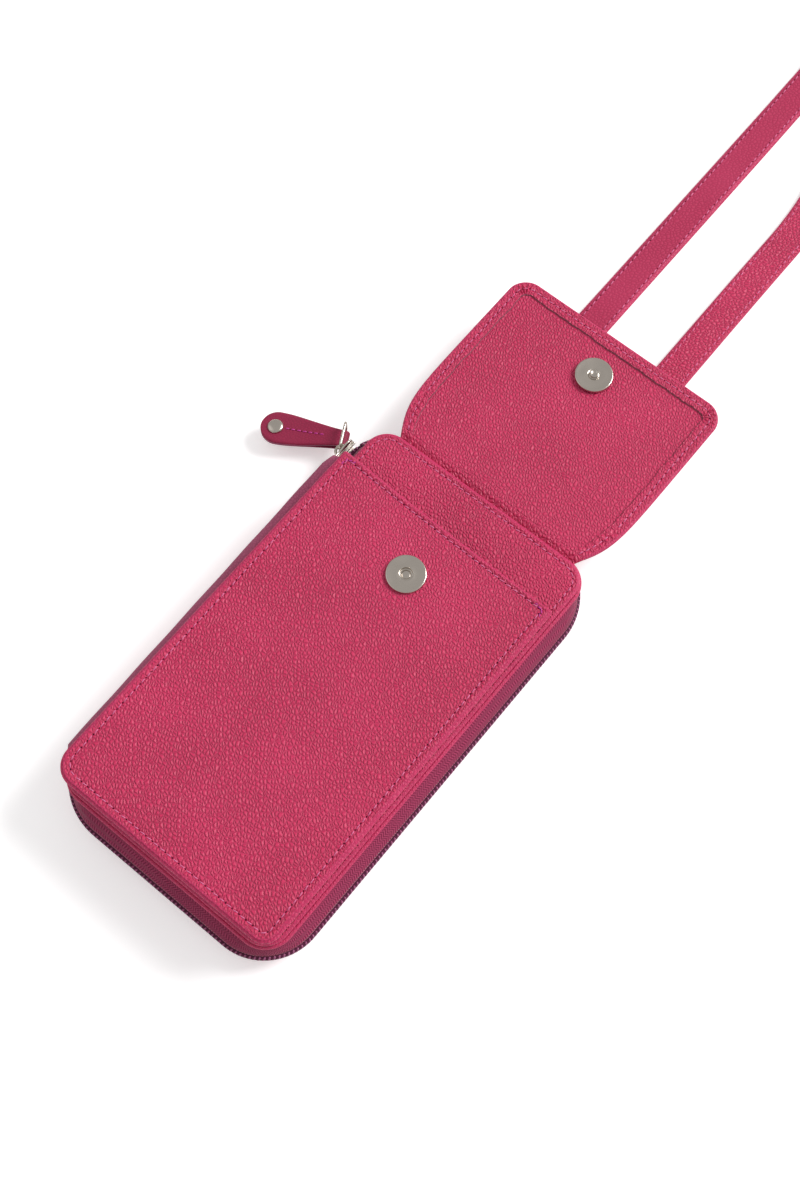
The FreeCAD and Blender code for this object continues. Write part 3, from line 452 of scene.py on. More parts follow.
# Camera.
view = {"place": (146.9, -139.15, 592.8), "lens": 50.516, "sensor": 36.0, "clipStart": 0.01,
        "axes": ((0.7733, 0.6340, 0.0), (-0.5886, 0.7178, 0.3718),
                 (0.2357, -0.2875, 0.9283))}  # right, up, back
camera = bpy.data.cameras.new("camera")
camera.sensor_fit = "VERTICAL"
camera.sensor_height = view["sensor"]
camera.lens = view["lens"]
camera.clip_start = view["clipStart"]
bpy.context.scene.camera = addObject("camera", camera, view["axes"], np.array(view["place"]) * mm)
print("camera set")

# Shoulder strap.
strap = {"wide": 14.0, "thick": 2.4, "halfApart": 19.5, "seamY": 90.5, "lift": 0.1, "leftTwist": 342.5,
         "rightTwist": 286.5, "rollX": 15.1, "rollY": 398.5, "rollRadius": 34.6, "layer": 6.0, "halfTurns": 4,
         "length": 1.198, "crown": 0.08, "seamInset": 1.9, "bight": 3.0, "faceBand": 0.25, "liningBand": 0.05,
         "sunk": 0.03}


# Control points of the roll: per half turn six corners of a twelve-sided ring round its circle.
def rollCorners(radius):
    k, n = np.meshgrid(np.arange(strap["halfTurns"]), np.arange(6), indexing="ij")
    reach = (radius - k * strap["layer"]) / math.cos(math.radians(15))
    angle = np.radians(np.where(k % 2, -15, 165) - 30 * n)
    return gridOf(strap["rollX"] + k % 2 * strap["layer"] + reach * np.cos(angle),
                  strap["rollY"] + reach * np.sin(angle)).reshape(-1, 2)


flatZ, edgeZ = strap["lift"] + strap["thick"] / 2, strap["lift"] + strap["wide"] / 2
leftX, rightX = -strap["halfApart"], strap["halfApart"]
inletX = strap["rollX"] - strap["rollRadius"]
bightX, bightY = inletX + (strap["halfTurns"] + 0.5) * strap["layer"], strap["rollY"]
bight = np.array([(-1, 1.5), (-1, 4.0), (1, 4.0), (1, 1.5)]) * [strap["bight"], 1] + [bightX, bightY]
outward = [(leftX, strap["seamY"], flatZ), (leftX, 150.0, flatZ), (leftX + 0.3, 300.0, flatZ),
           (leftX, strap["leftTwist"], flatZ), (leftX, 371.0, edgeZ), (leftX, 392.0, edgeZ)]
homeward = [(inletX + strap["layer"], 392.0, edgeZ), (inletX + strap["layer"], 366.0, edgeZ),
            (rightX - 8.0, 322.0, 5.0), (rightX, strap["rightTwist"], flatZ), (rightX - 0.4, 240.0, flatZ),
            (rightX, 150.0, flatZ), (rightX, strap["seamY"], flatZ)]
roll = np.vstack([rollCorners(strap["rollRadius"]), bight,
                  rollCorners(strap["rollRadius"] - strap["layer"])[::-1]])
route = np.vstack([outward, lifted(roll, edgeZ), homeward])
routeData = bpy.data.curves.new("strap_route", "CURVE")
routeData.dimensions = "3D"
routeData.resolution_u = 10
spline = routeData.splines.new("NURBS")
spline.points.add(len(route) - 1)
spline.points.foreach_set("co", np.column_stack([route * mm, np.ones(len(route))]).ravel())
spline.order_u = 3
spline.use_endpoint_u = True
routeObject = addObject("strap_route", routeData)
bpy.context.view_layer.update()
routeMesh = bpy.data.meshes.new_from_object(routeObject)
path = np.zeros(len(routeMesh.vertices) * 3)
routeMesh.vertices.foreach_get("co", path)
path = path.reshape(-1, 3) / mm
bpy.data.objects.remove(routeObject)
bpy.data.meshes.remove(routeMesh)

# The strap turns a quarter round its own line between each flat run and the roll, and lies on the table.
ahead = unit(np.gradient(path, axis=0))
half = np.argmin(np.linalg.norm(path[:, :2] - [bightX, bightY + 2.0], axis=1))
goingOut = np.arange(len(path)) < half
twistFrom = np.where(goingOut, strap["leftTwist"], strap["rightTwist"])
quarter = np.radians(90) * smooth(path[:, 1], twistFrom, strap["rollY"])
onEdge = np.flatnonzero(path[:, 1] >= strap["rollY"])
quarter[onEdge[0]:onEdge[-1] + 1] = np.radians(90)
level = unit(gridOf(-ahead[:, 1], ahead[:, 0], 0.0))
across = unit((np.where(goingOut, 1, -1) * np.cos(quarter))[:, None] * level + np.sin(quarter)[:, None] * zUp)
faceUp = np.cross(across, ahead)
path[:, 2] = strap["lift"] + strap["wide"] / 2 * np.sin(quarter) + strap["thick"] / 2 * np.cos(quarter)
section = roundBar(strap["wide"], strap["thick"], strap["crown"])
sectionSlots = np.where(section[:, 1] > strap["thick"] / 2 - strap["faceBand"], 0,
                        np.where(section[:, 1] < strap["liningBand"] - strap["thick"] / 2, 1, 2))
strapRun = runOf(path)
strapPiece = tubePiece("shoulder_strap", swept(path, across, faceUp, section), ("leather", "lining", "edge"),
                       "back_half", sectionSlots, uv=gridOf(runOf(section)[None], strapRun[:, None]))
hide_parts("strap_left", "strap_right", "strap_twist_left", "strap_twist_right", "strap_roll")
strapStitch = dict(stitchLook, high=0.3, holeLift=0.06)
for sideName, sign in (("a", -1), ("b", 1)):
    for faceName, up in (("face", 1), ("lining", -1)):
        offset = across * sign * (strap["wide"] / 2 - strap["seamInset"])
        offset = offset + faceUp * up * (strap["thick"] / 2 - strap["sunk"])
        stitchRow(f"strap_stitches_{faceName}_{sideName}", path + offset, strapStitch,
                                       "back_half", faceUp * up)

# Tie: a thin leather band round the roll's wall, a superellipse with straight sides and round corners in the
# upright plane through the roll's middle.
tie = {"angle": 58.0, "inner": 14.7, "outer": 36.2, "low": 0.2, "high": 14.5, "wide": 6.0, "thick": 0.35,
       "squared": 0.16}
tieTurn = math.radians(tie["angle"])
radial = np.array([math.cos(tieTurn), math.sin(tieTurn), 0.0])
sidewise = np.array([-radial[1], radial[0], 0.0])
superR, superZ = [np.sign(wave) * np.abs(wave) ** tie["squared"] for wave in circle(72)]
tieR = (tie["outer"] + tie["inner"]) / 2 + (tie["outer"] - tie["inner"]) / 2 * superR
tieZ = (tie["high"] + tie["low"]) / 2 + (tie["high"] - tie["low"]) / 2 * superZ
tiePath = np.array([strap["rollX"], strap["rollY"], 0.0]) + tieR[:, None] * radial + tieZ[:, None] * zUp
tieOut = np.cross(sidewise, unit(np.roll(tiePath, -1, 0) - np.roll(tiePath, 1, 0)))
tieSection = roundBar(tie["wide"], tie["thick"], count=5)
tubePiece("strap_tie", swept(tiePath, sidewise, tieOut, tieSection), ("tab",),
                               "back_half", uv=gridOf(tieSection[None, :, 0], runOf(tiePath)[:, None]),
                               endless=True)

# Strap ends: the strap's last stretch inside the seam, a thinned bar carried straight back from the edge.
for sideName in ("left", "right"):
    low, high = boxOf(f"strap_end_{sideName}")
    endY = np.linspace(high[1], low[1], 12)
    endPath = gridOf((low[0] + high[0]) / 2, endY, (low[2] + high[2]) / 2)
    endSection = roundBar(high[0] - low[0], high[2] - low[2], count=7)
    piece = tubePiece(f"strap_end_{sideName}_leather", swept(endPath, [-1.0, 0, 0], zUp, endSection),
                      ("flesh",), "back_half", uv=gridOf(endSection[None, :, 0], endY[:, None]))
    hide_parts(f"strap_end_{sideName}")
print("strap:", round(float(strapRun[-1])), "mm")


# Wallet covers and linings.
def panelShape(node, corners, sidePoints=40, cornerPoints=12):  # the outline of a node's box
    low, high = boxOf(node)
    return {"halfWide": (high[0] - low[0]) / 2, "low": low[1], "high": high[1], "corners": corners,
            "sidePoints": sidePoints, "cornerPoints": cornerPoints}


cover = {"thick": 2.0, "edge": 0.95, "groove": 0.22, "seam": 2.7, "seamWide": 0.42, "swell": 0.12,
         "swellRun": 3.0, "rollUp": 0.14, "corner": 9.5, "sunk": 0.1, "sunkBack": 0.12}
coverStitch = dict(stitchLook, pitch=3.0, length=2.2)


def faceDown(points):  # the same panel turned over
    points[..., 2] = np.clip(cover["thick"] - points[..., 2], 0.0, None)
    return points


coverShape, backShape = [panelShape(node, [cover["corner"]] * 4)
                         for node in ("wallet_front_cover", "back_cover")]
frontLow = boxOf("wallet_front_cover")[0, 2]
frontCover = panelPiece("front_cover_leather", coverShape, cover, frontLow, "front_half")
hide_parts("wallet_front_cover")
backCover = panelPiece("back_cover_leather", backShape, dict(cover, swell=0.0, rollUp=0.0), 0.0, "back_half",
                       warp=faceDown)
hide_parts("back_cover")
coverSeam = ringOf(coverShape, cover["seam"], frontLow + cover["thick"] - cover["sunk"])
stitchRow("front_cover_stitches", coverSeam, coverStitch, "front_half", closed=True)
backSeam = ringOf(backShape, cover["seam"], cover["sunkBack"])
stitchRow("back_cover_stitches", backSeam, dict(coverStitch, high=0.2), "back_half", -zUp, closed=True)

clothLook = dict(cover, thick=0.9, edge=0.4, groove=0.0, seam=2.0, seamWide=0.5, swell=0.0, rollUp=0.0)
for node, body, corner in (("back_lining", "back_half", 8.9), ("front_lining", "front_half", 8.9),
                           ("pocket_lining", "front_half", 6.5)):
    piece = panelPiece(f"{node}_cloth", panelShape(node, [corner] * 4, 20, 8), clothLook, boxOf(node)[0, 2],
                       body, ("cloth", "cloth"))
    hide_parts(node)
slotLook = dict(clothLook, thick=0.8, edge=0.38, groove=0.08, seam=2.2, seamWide=0.4, corner=3.0, mouth=1.0)
for node in ("card_slot_1", "card_slot_2", "card_slot_3"):
    shape, (low, high) = panelShape(node, [slotLook["corner"]] * 4, 24, 6), boxOf(node)
    piece = panelPiece(f"{node}_leather", shape, slotLook, low[2], "back_half", ("lining", "edge"))
    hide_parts(node)
    row = ringOf(shape, slotLook["seam"], high[2])
    row = row[row[:, 1] > shape["high"] - slotLook["seam"] - slotLook["mouth"]]  # only along the slot's mouth
    stitchRow(f"{node}_stitches", row[np.argsort(row[:, 0])], dict(coverStitch, high=0.3), "back_half")
print("covers, linings and card slots done")

# Front pocket.
pouch = dict(cover, seam=3.6, swell=0.35, swellRun=9.0, rollUp=0.34, scoop=0.8, draw=1.2, drawRun=5.0,
             tilt=1.2, lift=0.4, sunk=0.04)
pocketShape = panelShape("pocket_front", [9.0, 6.5, 1.4, 1.4], 48, 12)
pocketLow = boxOf("pocket_front")[0, 2]


# The mouth dips in the middle and stands a little higher on the left, fading towards the foot. Its seam is
# drawn nearer to the edge than the side seams are.
def scooped(points):
    x = points[..., 0] / pocketShape["halfWide"]
    depth = pocketShape["high"] - points[..., 1]
    share = np.clip(1 - depth / (pocketShape["high"] - pocketShape["low"]), 0, 1)
    points[..., 1] += (pouch["lift"] - pouch["tilt"] * x - pouch["scoop"] * (1 - x * x)) * share ** 3
    past = np.clip(depth - pouch["seam"], 0, None)
    points[..., 1] += pouch["draw"] * smooth(depth, 0, pouch["seam"]) * np.exp(-past / pouch["drawRun"])
    return points


pocketPiece = panelPiece("pocket_front_leather", pocketShape, pouch, pocketLow, "front_half", warp=scooped)
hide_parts("pocket_front")
pocketSeam = scooped(ringOf(pocketShape, pouch["seam"], pocketLow + pouch["thick"] - pouch["sunk"]))
stitchRow("pocket_front_stitches", pocketSeam, dict(coverStitch, hole=0.66), "front_half", closed=True)

# Tacking at the mouth's two corners: a short row of thread across each, where the seam turns back.
tackStitch = dict(coverStitch, pitch=1.7, length=1.7, wide=0.6, slant=0.35)
tackLine = np.array([(-3.6, 1.3, 0.12), (-1.6, 0.4, 0.12), (0.2, -0.2, 0.12), (0.9, -2.6, 0.12)])
for sideName, sign in (("left", -1), ("right", 1)):
    corner = [sign * (pocketShape["halfWide"] - pouch["seam"]), pocketShape["high"] - pouch["seam"],
              pocketLow + pouch["thick"]]
    stitchRow(f"pocket_tack_{sideName}", scooped(corner + tackLine * [sign, 1, 1]), tackStitch, "front_half",
              yarn="tack")

# Gusset: one strip down the left side, round the foot and up the right, folded out on the left and in
# elsewhere. The fold is deepest at half height, and on the left it widens towards the top and closes just
# below it.
gusset = {"edge": 48.15, "foot": -88.0, "top": 66.0, "corner": 6.0, "fold": 4.4, "foldLeft": 4.7,
          "widen": 2.4, "close": 1.2, "closeFrom": 0.97, "thick": 1.0, "low": 19.8, "high": 29.6,
          "turnFrom": -79.0, "turnTo": -88.5, "round": 1.7, "ripple": 0.07, "rippleStep": 0.55,
          "paleFrom": 0.3}
edge, foot, r = gusset["edge"], gusset["foot"], gusset["corner"]
sideY = np.linspace(gusset["top"], foot + r, 60, endpoint=False)
footX = np.linspace(r - edge, edge - r, 40, endpoint=False)
arc = np.radians(np.linspace(180, 270, 14, endpoint=False))
gussetPath = np.vstack([
    gridOf(-edge, sideY), gridOf(r - edge + r * np.cos(arc), foot + r + r * np.sin(arc)), gridOf(footX, foot),
    gridOf(edge - r - r * np.sin(arc), foot + r + r * np.cos(arc)), gridOf(edge, sideY[::-1])])
rise = np.clip((gussetPath[:, 1] - foot) / (gusset["top"] - foot), 0, 1)
foldOut = 1 - smooth(gussetPath[:, 1], gusset["turnFrom"], gusset["turnTo"])
foldOut[len(sideY) + len(arc) + 1:] = 0.0
foldLeft = gusset["foldLeft"] + gusset["widen"] * rise
foldLeft = foldLeft - gusset["close"] * smooth(rise, gusset["closeFrom"], 1)
foldSize = gusset["fold"] * (1 - foldOut) - foldLeft * foldOut
foldSize = foldSize + gusset["ripple"] * np.sin(gusset["rippleStep"] * np.arange(len(foldSize)))
levels = np.linspace(0, 1, 15)
skin = foldSize[:, None] * (1 - np.abs(2 * levels - 1) ** gusset["round"])
loop = np.concatenate([skin, (skin + gusset["thick"])[:, ::-1]], 1)
loopZ = gusset["low"] + (gusset["high"] - gusset["low"]) * np.r_[levels, levels[::-1]]
inward = leftOf(gussetPath)
gussetPoints = gridOf(gussetPath[:, :1] + loop * inward[:, :1], gussetPath[:, 1:] + loop * inward[:, 1:],
                      loopZ)
# The part folded out on the left takes the greyer finish with painted sheen and shade, the rest the dark one
# with painted shade.
gussetPiece = tubePiece("pocket_gusset", gussetPoints, ("gusset", "fold"), "front_half",
                        foldOut[1:, None] > gusset["paleFrom"], (1, 0),
                        gridOf(loopZ, runOf(gussetPath)[:, None]))
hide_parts("gusset_left", "gusset_right", "gusset_bottom")
print("pocket done")

# Zip.
zipLook = {"foot": (48.3, 89.3), "footCorners": np.full(4, 9.5), "lip": (53.8, 94.8),
           "lipCorners": np.array([20.9, 26.5, 20.9, 25.5]), "bind": (49.75, 90.75),
           "bindCorners": np.full(4, 10.6), "bindHalf": (0.9, 1.15), "bottom": -66.0, "tapeThick": 0.8,
           "tapeBulge": 0.35, "coilOut": 1.15, "pitch": 1.7, "sight": 0.3, "chainZ": 9.9, "beadZ": 0.55,
           "bead": (0.56, 0.8, 0.66), "beadLean": 0.22, "coreZ": 0.62, "core": (1.05, 0.42),
           "coreIn": (0.45, 0.0)}
zipHalves = {
    "front": {"side": 1, "top": 81.35, "bindZ": 16.6, "footZ": 15.7, "lipZ": 11.0, "reach": 0.0,
              "first": 0.75},
    "back": {"side": -1, "top": 65.9, "bindZ": 3.2, "footZ": 4.1, "lipZ": 8.7, "reach": 0.9, "first": 0.25}}


# The zip's line round three sides, by length along its straights and quarter arcs: up the left side from
# topY, over the top, down the right side, along the foot, and up the left side to the zip's bottom.
def zipRing(halves, corners, topY):
    (x, y), (first, second, third, last) = halves, corners

    def quarter(r, up, start):  # a right corner's arc, clockwise from an angle in degrees
        turn = np.radians(start - 90 * np.arange(24) / 24)
        return gridOf(x - r + r * np.cos(turn), up * (y - r) + r * np.sin(turn))

    lead = max(y - first - topY, 0.0)
    entry = math.asin(min(max((topY - y + first) / first, 0.0), 1.0))
    s = np.linspace(0, lead + first * (math.pi / 2 - entry), 36, endpoint=False)
    angle = entry + np.clip(s - lead, 0, None) / first
    startY = np.where(s < lead, topY + s, y - first + first * np.sin(angle))
    start = gridOf(first - x - first * np.cos(angle), startY)
    s = np.linspace(0, last * math.pi / 2 + max(zipLook["bottom"] + y - last, 0.0), 38)
    angle = np.clip(s / last, 0, math.pi / 2)
    endY = last - y - last * np.cos(angle) + np.clip(s - last * math.pi / 2, 0, None)
    end = gridOf(last - x - last * np.sin(angle), endY)
    top, right, foot = [np.linspace(*ends, count, endpoint=False) for *ends, count in (
        ((first - x, y), (x - second, y), 70), ((x, y - second), (x, third - y), 130),
        ((x - third, -y), (last - x, -y), 70))]
    return np.vstack([start, top, quarter(second, 1, 90), right, quarter(third, -1, 0), foot, end])


def lipRing(beyond, topY):  # the zip's line at the tapes' lips, and a little beyond
    return zipRing(np.array(zipLook["lip"]) + beyond, zipLook["lipCorners"] + beyond, topY)


for half, look in zipHalves.items():
    side, top, body = look["side"], look["top"], f"{half}_half"
    # Binding: a narrow leather roll over the tape's sewn edge, an oval bar carried round the zip's line.
    ring = zipRing(zipLook["bind"], zipLook["bindCorners"], top)
    turn = np.radians(np.arange(0, 360, 24))
    oval = gridOf(np.cos(turn), np.sin(turn)) * zipLook["bindHalf"]
    tubePiece(f"zip_binding_{half}", swept(lifted(ring, look["bindZ"]), lifted(leftOf(ring), 0.0), zUp, oval),
              ("edge",), body, uv=gridOf(turn, runOf(ring)[:, None]))
    # Tape: from its sewn foot straight to its lip, slightly bulged, and a second skin its thickness inside.
    foot, lip = zipRing(zipLook["foot"], zipLook["footCorners"], top), lipRing(look["reach"], top)
    share = np.linspace(0, 1, 12)
    z = look["footZ"] + (look["lipZ"] - look["footZ"]) * share
    z = z + side * zipLook["tapeBulge"] * np.sin(np.pi * share)
    plan = foot[:, None] * (1 - share)[:, None] + lip[:, None] * share[:, None]
    skin = gridOf(plan[..., 0], plan[..., 1], z)
    normal = unit(np.cross(np.gradient(skin, axis=0), np.gradient(skin, axis=1)))
    points = np.concatenate([skin, (skin + normal * zipLook["tapeThick"] * side)[:, ::-1]], 1)
    wide = np.r_[share, share[::-1]] * np.linalg.norm(lip[40] - foot[40])  # measured on the top's straight
    piece = tubePiece(f"zip_tape_{half}_cloth", points, ("tape",), body, uv=gridOf(runOf(lip)[:, None], wide))
    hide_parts(f"zip_tape_{half}")
    # Coil: a slim core along the zip line with one bead per pitch, leaning across it like a wound loop.
    ring = lipRing(zipLook["coilOut"], top)
    steps = runOf(ring)
    where = (np.arange(int(steps[-1] / zipLook["pitch"])) + look["first"]) * zipLook["pitch"]
    where = where[where < steps[-1]]
    ahead = sampled(ring, steps, where + zipLook["sight"]) - sampled(ring, steps, where - zipLook["sight"])
    ahead = lifted(unit(ahead), 0.0)
    axes = np.stack([ahead, np.cross(zUp, ahead), np.broadcast_to(zUp, ahead.shape)], 1)
    lat, (cos, sin) = np.radians([[-62], [-20], [20], [62]]), circle(6)
    bead = gridOf(np.cos(lat) * cos, np.cos(lat) * sin, np.sin(lat)) * zipLook["bead"]
    bead[..., 0] += zipLook["beadLean"] * bead[..., 1]
    places = lifted(sampled(ring, steps, where), zipLook["chainZ"] + side * zipLook["beadZ"])
    # The core's cord is darkened with painted shade between the beads.
    core = gridOf(*circle(8)) * zipLook["core"] - zipLook["coreIn"]
    tube = swept(lifted(ring, zipLook["chainZ"] + side * zipLook["coreZ"]), lifted(leftOf(ring), 0.0), zUp,
                 core)
    beads = places[:, None, None] + bead @ axes[:, None]
    piece = tubesPiece(f"zip_coil_{half}", (beads, tube[None]), ("coil", "cord"), body)
    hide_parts(f"zip_chain_{half}")

# Stay: a short strip of tape behind the slider, from the spine's end to where the front tape starts, bowed
# out a little and easing in at its upper end.
stay = {"from": 65.0, "to": 82.5, "easeRun": 3.0, "easeIn": 0.9, "thick": 0.7, "foot": (-48.3, 15.9),
        "lip": (-52.7, 11.7), "bow": 0.5, "wide": 6.0}
share = np.linspace(0, 1, 9)
stayX, stayZ = np.linspace(stay["foot"], stay["lip"], 9).T
stayX = stayX - stay["bow"] * np.sin(np.pi * share)
stayY = np.linspace(stay["from"], stay["to"], 24)[:, None]
ease = stay["easeIn"] * np.clip((stayY - stay["to"] + stay["easeRun"]) / stay["easeRun"], 0, 1)
stayPoints = gridOf(np.r_[stayX, stayX[::-1] + stay["thick"]] + ease, stayY, np.r_[stayZ, stayZ[::-1]])
tubePiece("zip_stay", stayPoints, ("tape",), "front_half",
          uv=gridOf(stayY, np.r_[share, share[::-1]] * stay["wide"]))

# Spine: a strip that bows out between the covers, as an arc over its height, a little less at its two ends.
spine = {"x": -49.7, "half": 66.0, "bulge": 6.4, "thick": 1.3, "low": 1.0, "high": 18.8, "endEase": 0.12,
         "wave": 0.12, "waveStep": 0.23, "stretch": 1.2}
share = np.linspace(0, 1, 21)
spineY = np.linspace(-spine["half"], spine["half"], 90)[:, None]
bow = spine["wave"] * np.sin(spine["waveStep"] * spineY)
bow = bow - spine["bulge"] * (1 - spine["endEase"] * (np.abs(spineY) / spine["half"]) ** 14)
insideX = spine["x"] + bow * (1 - (2 * share - 1) ** 2)
spineX = np.concatenate([insideX - spine["thick"], insideX[:, ::-1]], 1)
spineZ = spine["low"] + (spine["high"] - spine["low"]) * np.r_[share, share[::-1]]
spinePiece = tubePiece("spine_leather", gridOf(spineX, spineY, spineZ), ("leather",), None,
                       uv=gridOf(spine["stretch"] * spineZ, spineY))
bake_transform(spinePiece)
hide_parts("spine")
print("zip and spine done")

# Flap.
flap = {"thick": 2.4, "edge": 1.1, "groove": 0.16, "seam": 3.4, "seamWide": 0.5, "hem": 6.0, "sink": 0.6,
        "step": 0.3, "puff": 0.14, "neckHalf": 41.0, "flare": 11.0, "flareFrom": 89.5, "low": 16.9,
        "sunk": 0.06, "sunkOutside": 0.1}
flapShape = {"halfWide": 49.75, "low": 94.5, "high": 177.6, "corners": [0.0, 0.0, 8.6, 8.6],
             "innerCorner": 2.6, "foldRun": 19.0, "foldShare": 0.4, "sidePoints": 120, "cornerPoints": 30}
m, k = flapShape["sidePoints"], flapShape["cornerPoints"]


def flapHalfWidth(y):  # neck width at the seam, then a hollow curve that eases out to the full width
    reach = np.clip(y - flap["flareFrom"], 0, None) / flap["flare"]
    return flapShape["halfWide"] - (flapShape["halfWide"] - flap["neckHalf"]) * np.exp(-reach ** 1.3)


def flapped(points):  # x drawn in by the flap's share of its full width at y
    points[..., 0] *= flapHalfWidth(points[..., 1]) / flapShape["halfWide"]
    return points


def flapRing(inset, z):  # up the right side, over the tip and down the left side
    return ringOf(flapShape, inset, z)[m + k:4 * m + 3 * k + 1]


# The flap's inner face: a turned hem stands above the lining sunk inside it. Height over the inset d is
# thick, less the stitch groove, less a sharp step at the hem's width. The hem's raw edge wanders: two slow
# waves and a quick one.
hemLook = {"wander": 0.22, "slowSteps": (0.31, 0.083), "quick": 0.1, "quickStep": 0.9, "edgeAt": 0.15,
           "edgeWide": 0.8, "cutFrom": 0.02, "cutTo": 0.34, "risesFrom": 0.8, "riseRun": 1.4, "fallRun": 0.8}
seam, hem = flap["seam"], flap["hem"]
# The rings lie closest round the hem's step.
face = np.unique(np.r_[np.linspace(flap["edge"], 5.2, 24), np.linspace(5.2, 7.0, 15),
                       np.linspace(7.0, 9.0, 6), np.geomspace(9.0, flapShape["halfWide"] - 4.0, 16)])
top = flap["thick"] - flap["groove"] * bell(face, seam, flap["seamWide"])
top = top - flap["sink"] * smooth(face, hem, hem + flap["step"])
top = top + flap["puff"] * np.sin(np.pi * np.clip((face - seam) / (hem - seam), 0, 1))
insets, heights, part = panelSection(flap, face, top, 3)
rings = np.stack([flapRing(d, flap["low"] + h) for d, h in zip(insets, heights)])
rows, cols = rings.shape[:2]
number = np.arange(cols)
slow, slower = hemLook["slowSteps"]
wander = hemLook["wander"] * np.sin(number * slow) * np.sin(number * slower + 1)
wander = wander + hemLook["quick"] * np.sin(number * hemLook["quickStep"] + 0.5)
heading = unit(np.gradient(rings, axis=1)[..., :2])
nearHem = (bell(insets, hem + hemLook["edgeAt"], hemLook["edgeWide"]) * (part == 2))[:, None] * wander
rings[..., 0] -= heading[..., 1] * nearHem
rings[..., 1] += heading[..., 0] * nearHem

# Gathers of the hem: small ridges square to the edge, strong round the tip's corners, light in the hollows.
gather = {"corner": 0.42, "cornerWide": 0.42, "cornerStep": 1.15, "hollow": 0.3, "hollowY": 104.0,
          "hollowWide": 8.0, "hollowStep": 2.1}
middles = np.array([[m + k / 2], [2 * m + 3 * k / 2]])
atCorner = bell(number, middles, gather["cornerWide"] * k).max(0)
inHollow = bell(rings[..., 1], gather["hollowY"], gather["hollowWide"])
onHem = (part == 2) * np.clip((insets - hemLook["risesFrom"]) / hemLook["riseRun"], 0, 1)
onHem = onHem * np.clip((hem - insets) / hemLook["fallRun"], 0, 1)
ridges = gather["corner"] * atCorner * np.sin(number * gather["cornerStep"])
ridges = ridges + gather["hollow"] * inHollow * np.sin(rings[..., 1] * gather["hollowStep"])
rings[..., 2] += onHem[:, None] * ridges
flapPoints = flapped(rings).reshape(-1, 3)
rawEdge = (part == 2) & (insets > hem + hemLook["cutFrom"]) & (insets < hem + hemLook["cutTo"])
kinds = np.where(rawEdge, 2, part == 1)
flapFaces = gridFaces(rows, cols, wrap=False).tolist()
flapSlots = np.repeat(kinds[1:], cols - 1).tolist()
ends = np.arange(rows) * cols
side = np.arange(m)  # the innermost rings are bridged from right to left
bridge = gridOf(side, side + 1, cols - 2 - side, cols - 1 - side)
tipFace = np.arange(m, cols - m)
flapFaces += bridge[:, ::-1].tolist() + [tipFace[::-1].tolist()]
flapFaces += (bridge + ends[-1]).tolist() + [(tipFace + ends[-1]).tolist()]
sectionEnds = np.r_[ends, (ends + cols - 1)[::-1]]
flapFaces += [sectionEnds.tolist()]
flapSlots += [0] * (len(flapFaces) - len(flapSlots))
flapPiece = addPiece("flap_leather", flapPoints, flapFaces, ("leather", "edge", "cut"), None, flapSlots,
                     flapPoints[:, :2])
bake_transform(flapPiece)
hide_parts("flap_outer", "flap_hem", "flap_lining", "crease_upper")

# Neck: the flap's own section carried back to the wallet, squeezed flat where it goes under the cover's edge.
neck = {"from": 81.0, "under": 89.4, "seam": 90.0, "riseFrom": 90.3, "riseTo": 93.9, "low": 16.62,
        "thick": 1.06, "stitchTo": 107.6, "flapFrom": 112.2}
neckX, neckHigh = flapPoints[sectionEnds, 0], (flapPoints[sectionEnds, 2] - flap["low"]) / flap["thick"]
neckY = np.r_[np.linspace(neck["from"], neck["under"], 6),
              np.linspace(neck["seam"], flapShape["low"], 16)][:, None]
lift = smooth(neckY, neck["riseFrom"], neck["riseTo"])
neckZ = neck["low"] + (flap["low"] - neck["low"]) * lift
neckZ = neckZ + neckHigh * (neck["thick"] + (flap["thick"] - neck["thick"]) * lift)
neckPoints = gridOf(neckX * flapHalfWidth(neckY) / flapHalfWidth(flapShape["low"]), neckY, neckZ)
neckPiece = tubePiece("flap_neck_leather", neckPoints, ("leather",), None, uv=neckPoints[..., :2])
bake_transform(neckPiece)
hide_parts("flap_neck", "crease_lower", "flap_root")
flapSeam = flapped(flapRing(seam, flap["low"] + flap["thick"] - flap["sunk"]))
for sideName, sign in (("left", -1), ("right", 1)):
    neckSeam = flapSeam[(flapSeam[:, 1] < neck["stitchTo"]) & (flapSeam[:, 0] * sign > 0)]
    stitchRow(f"flap_neck_stitches_{sideName}", neckSeam, coverStitch, "flap_neck")
flapSeam = flapSeam[flapSeam[:, 1] > neck["flapFrom"]]
stitchRow("flap_stitches", flapSeam, coverStitch, "flap")
outsideSeam = flapSeam - zUp * (flap["thick"] - flap["sunkOutside"])
stitchRow("flap_stitches_outside", outsideSeam, coverStitch, "flap", -zUp)
print("flap done")

# Magnetic snap: two turned discs with the same rim, one with a hole round a low post, one with a pin.
rim = [(0.01, 0.0), (7.3, 0.0), (7.46, 0.1), (7.5, 0.3), (7.5, 1.2), (7.45, 1.42), (7.3, 1.55), (7.1, 1.6),
       (6.8, 1.6)]
socketProfile = rim + [(6.6, 1.57), (4.5, 1.56), (3.1, 1.56), (2.95, 1.6), (2.65, 1.6), (2.52, 1.52),
                       (2.5, 1.3), (2.48, 0.45), (2.3, 0.35), (1.75, 0.35), (1.65, 0.42), (1.6, 0.58),
                       (1.4, 0.64), (0.01, 0.64)]
studProfile = rim + [(6.6, 1.56), (4.5, 1.55), (2.7, 1.55), (2.4, 1.52), (2.2, 1.38), (1.95, 1.38),
                     (1.8, 1.5), (1.78, 2.3), (1.7, 2.5), (1.5, 2.6), (1.2, 2.58), (1.05, 2.45), (0.01, 2.43)]
for node, profile, body in (("snap_socket", socketProfile, "front_half"), ("snap_stud", studProfile, "flap")):
    low, high = boxOf(node)
    piece = lathePiece(f"{node}_disc", profile, [0.0, (low[1] + high[1]) / 2, low[2]], body)
    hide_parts(node)

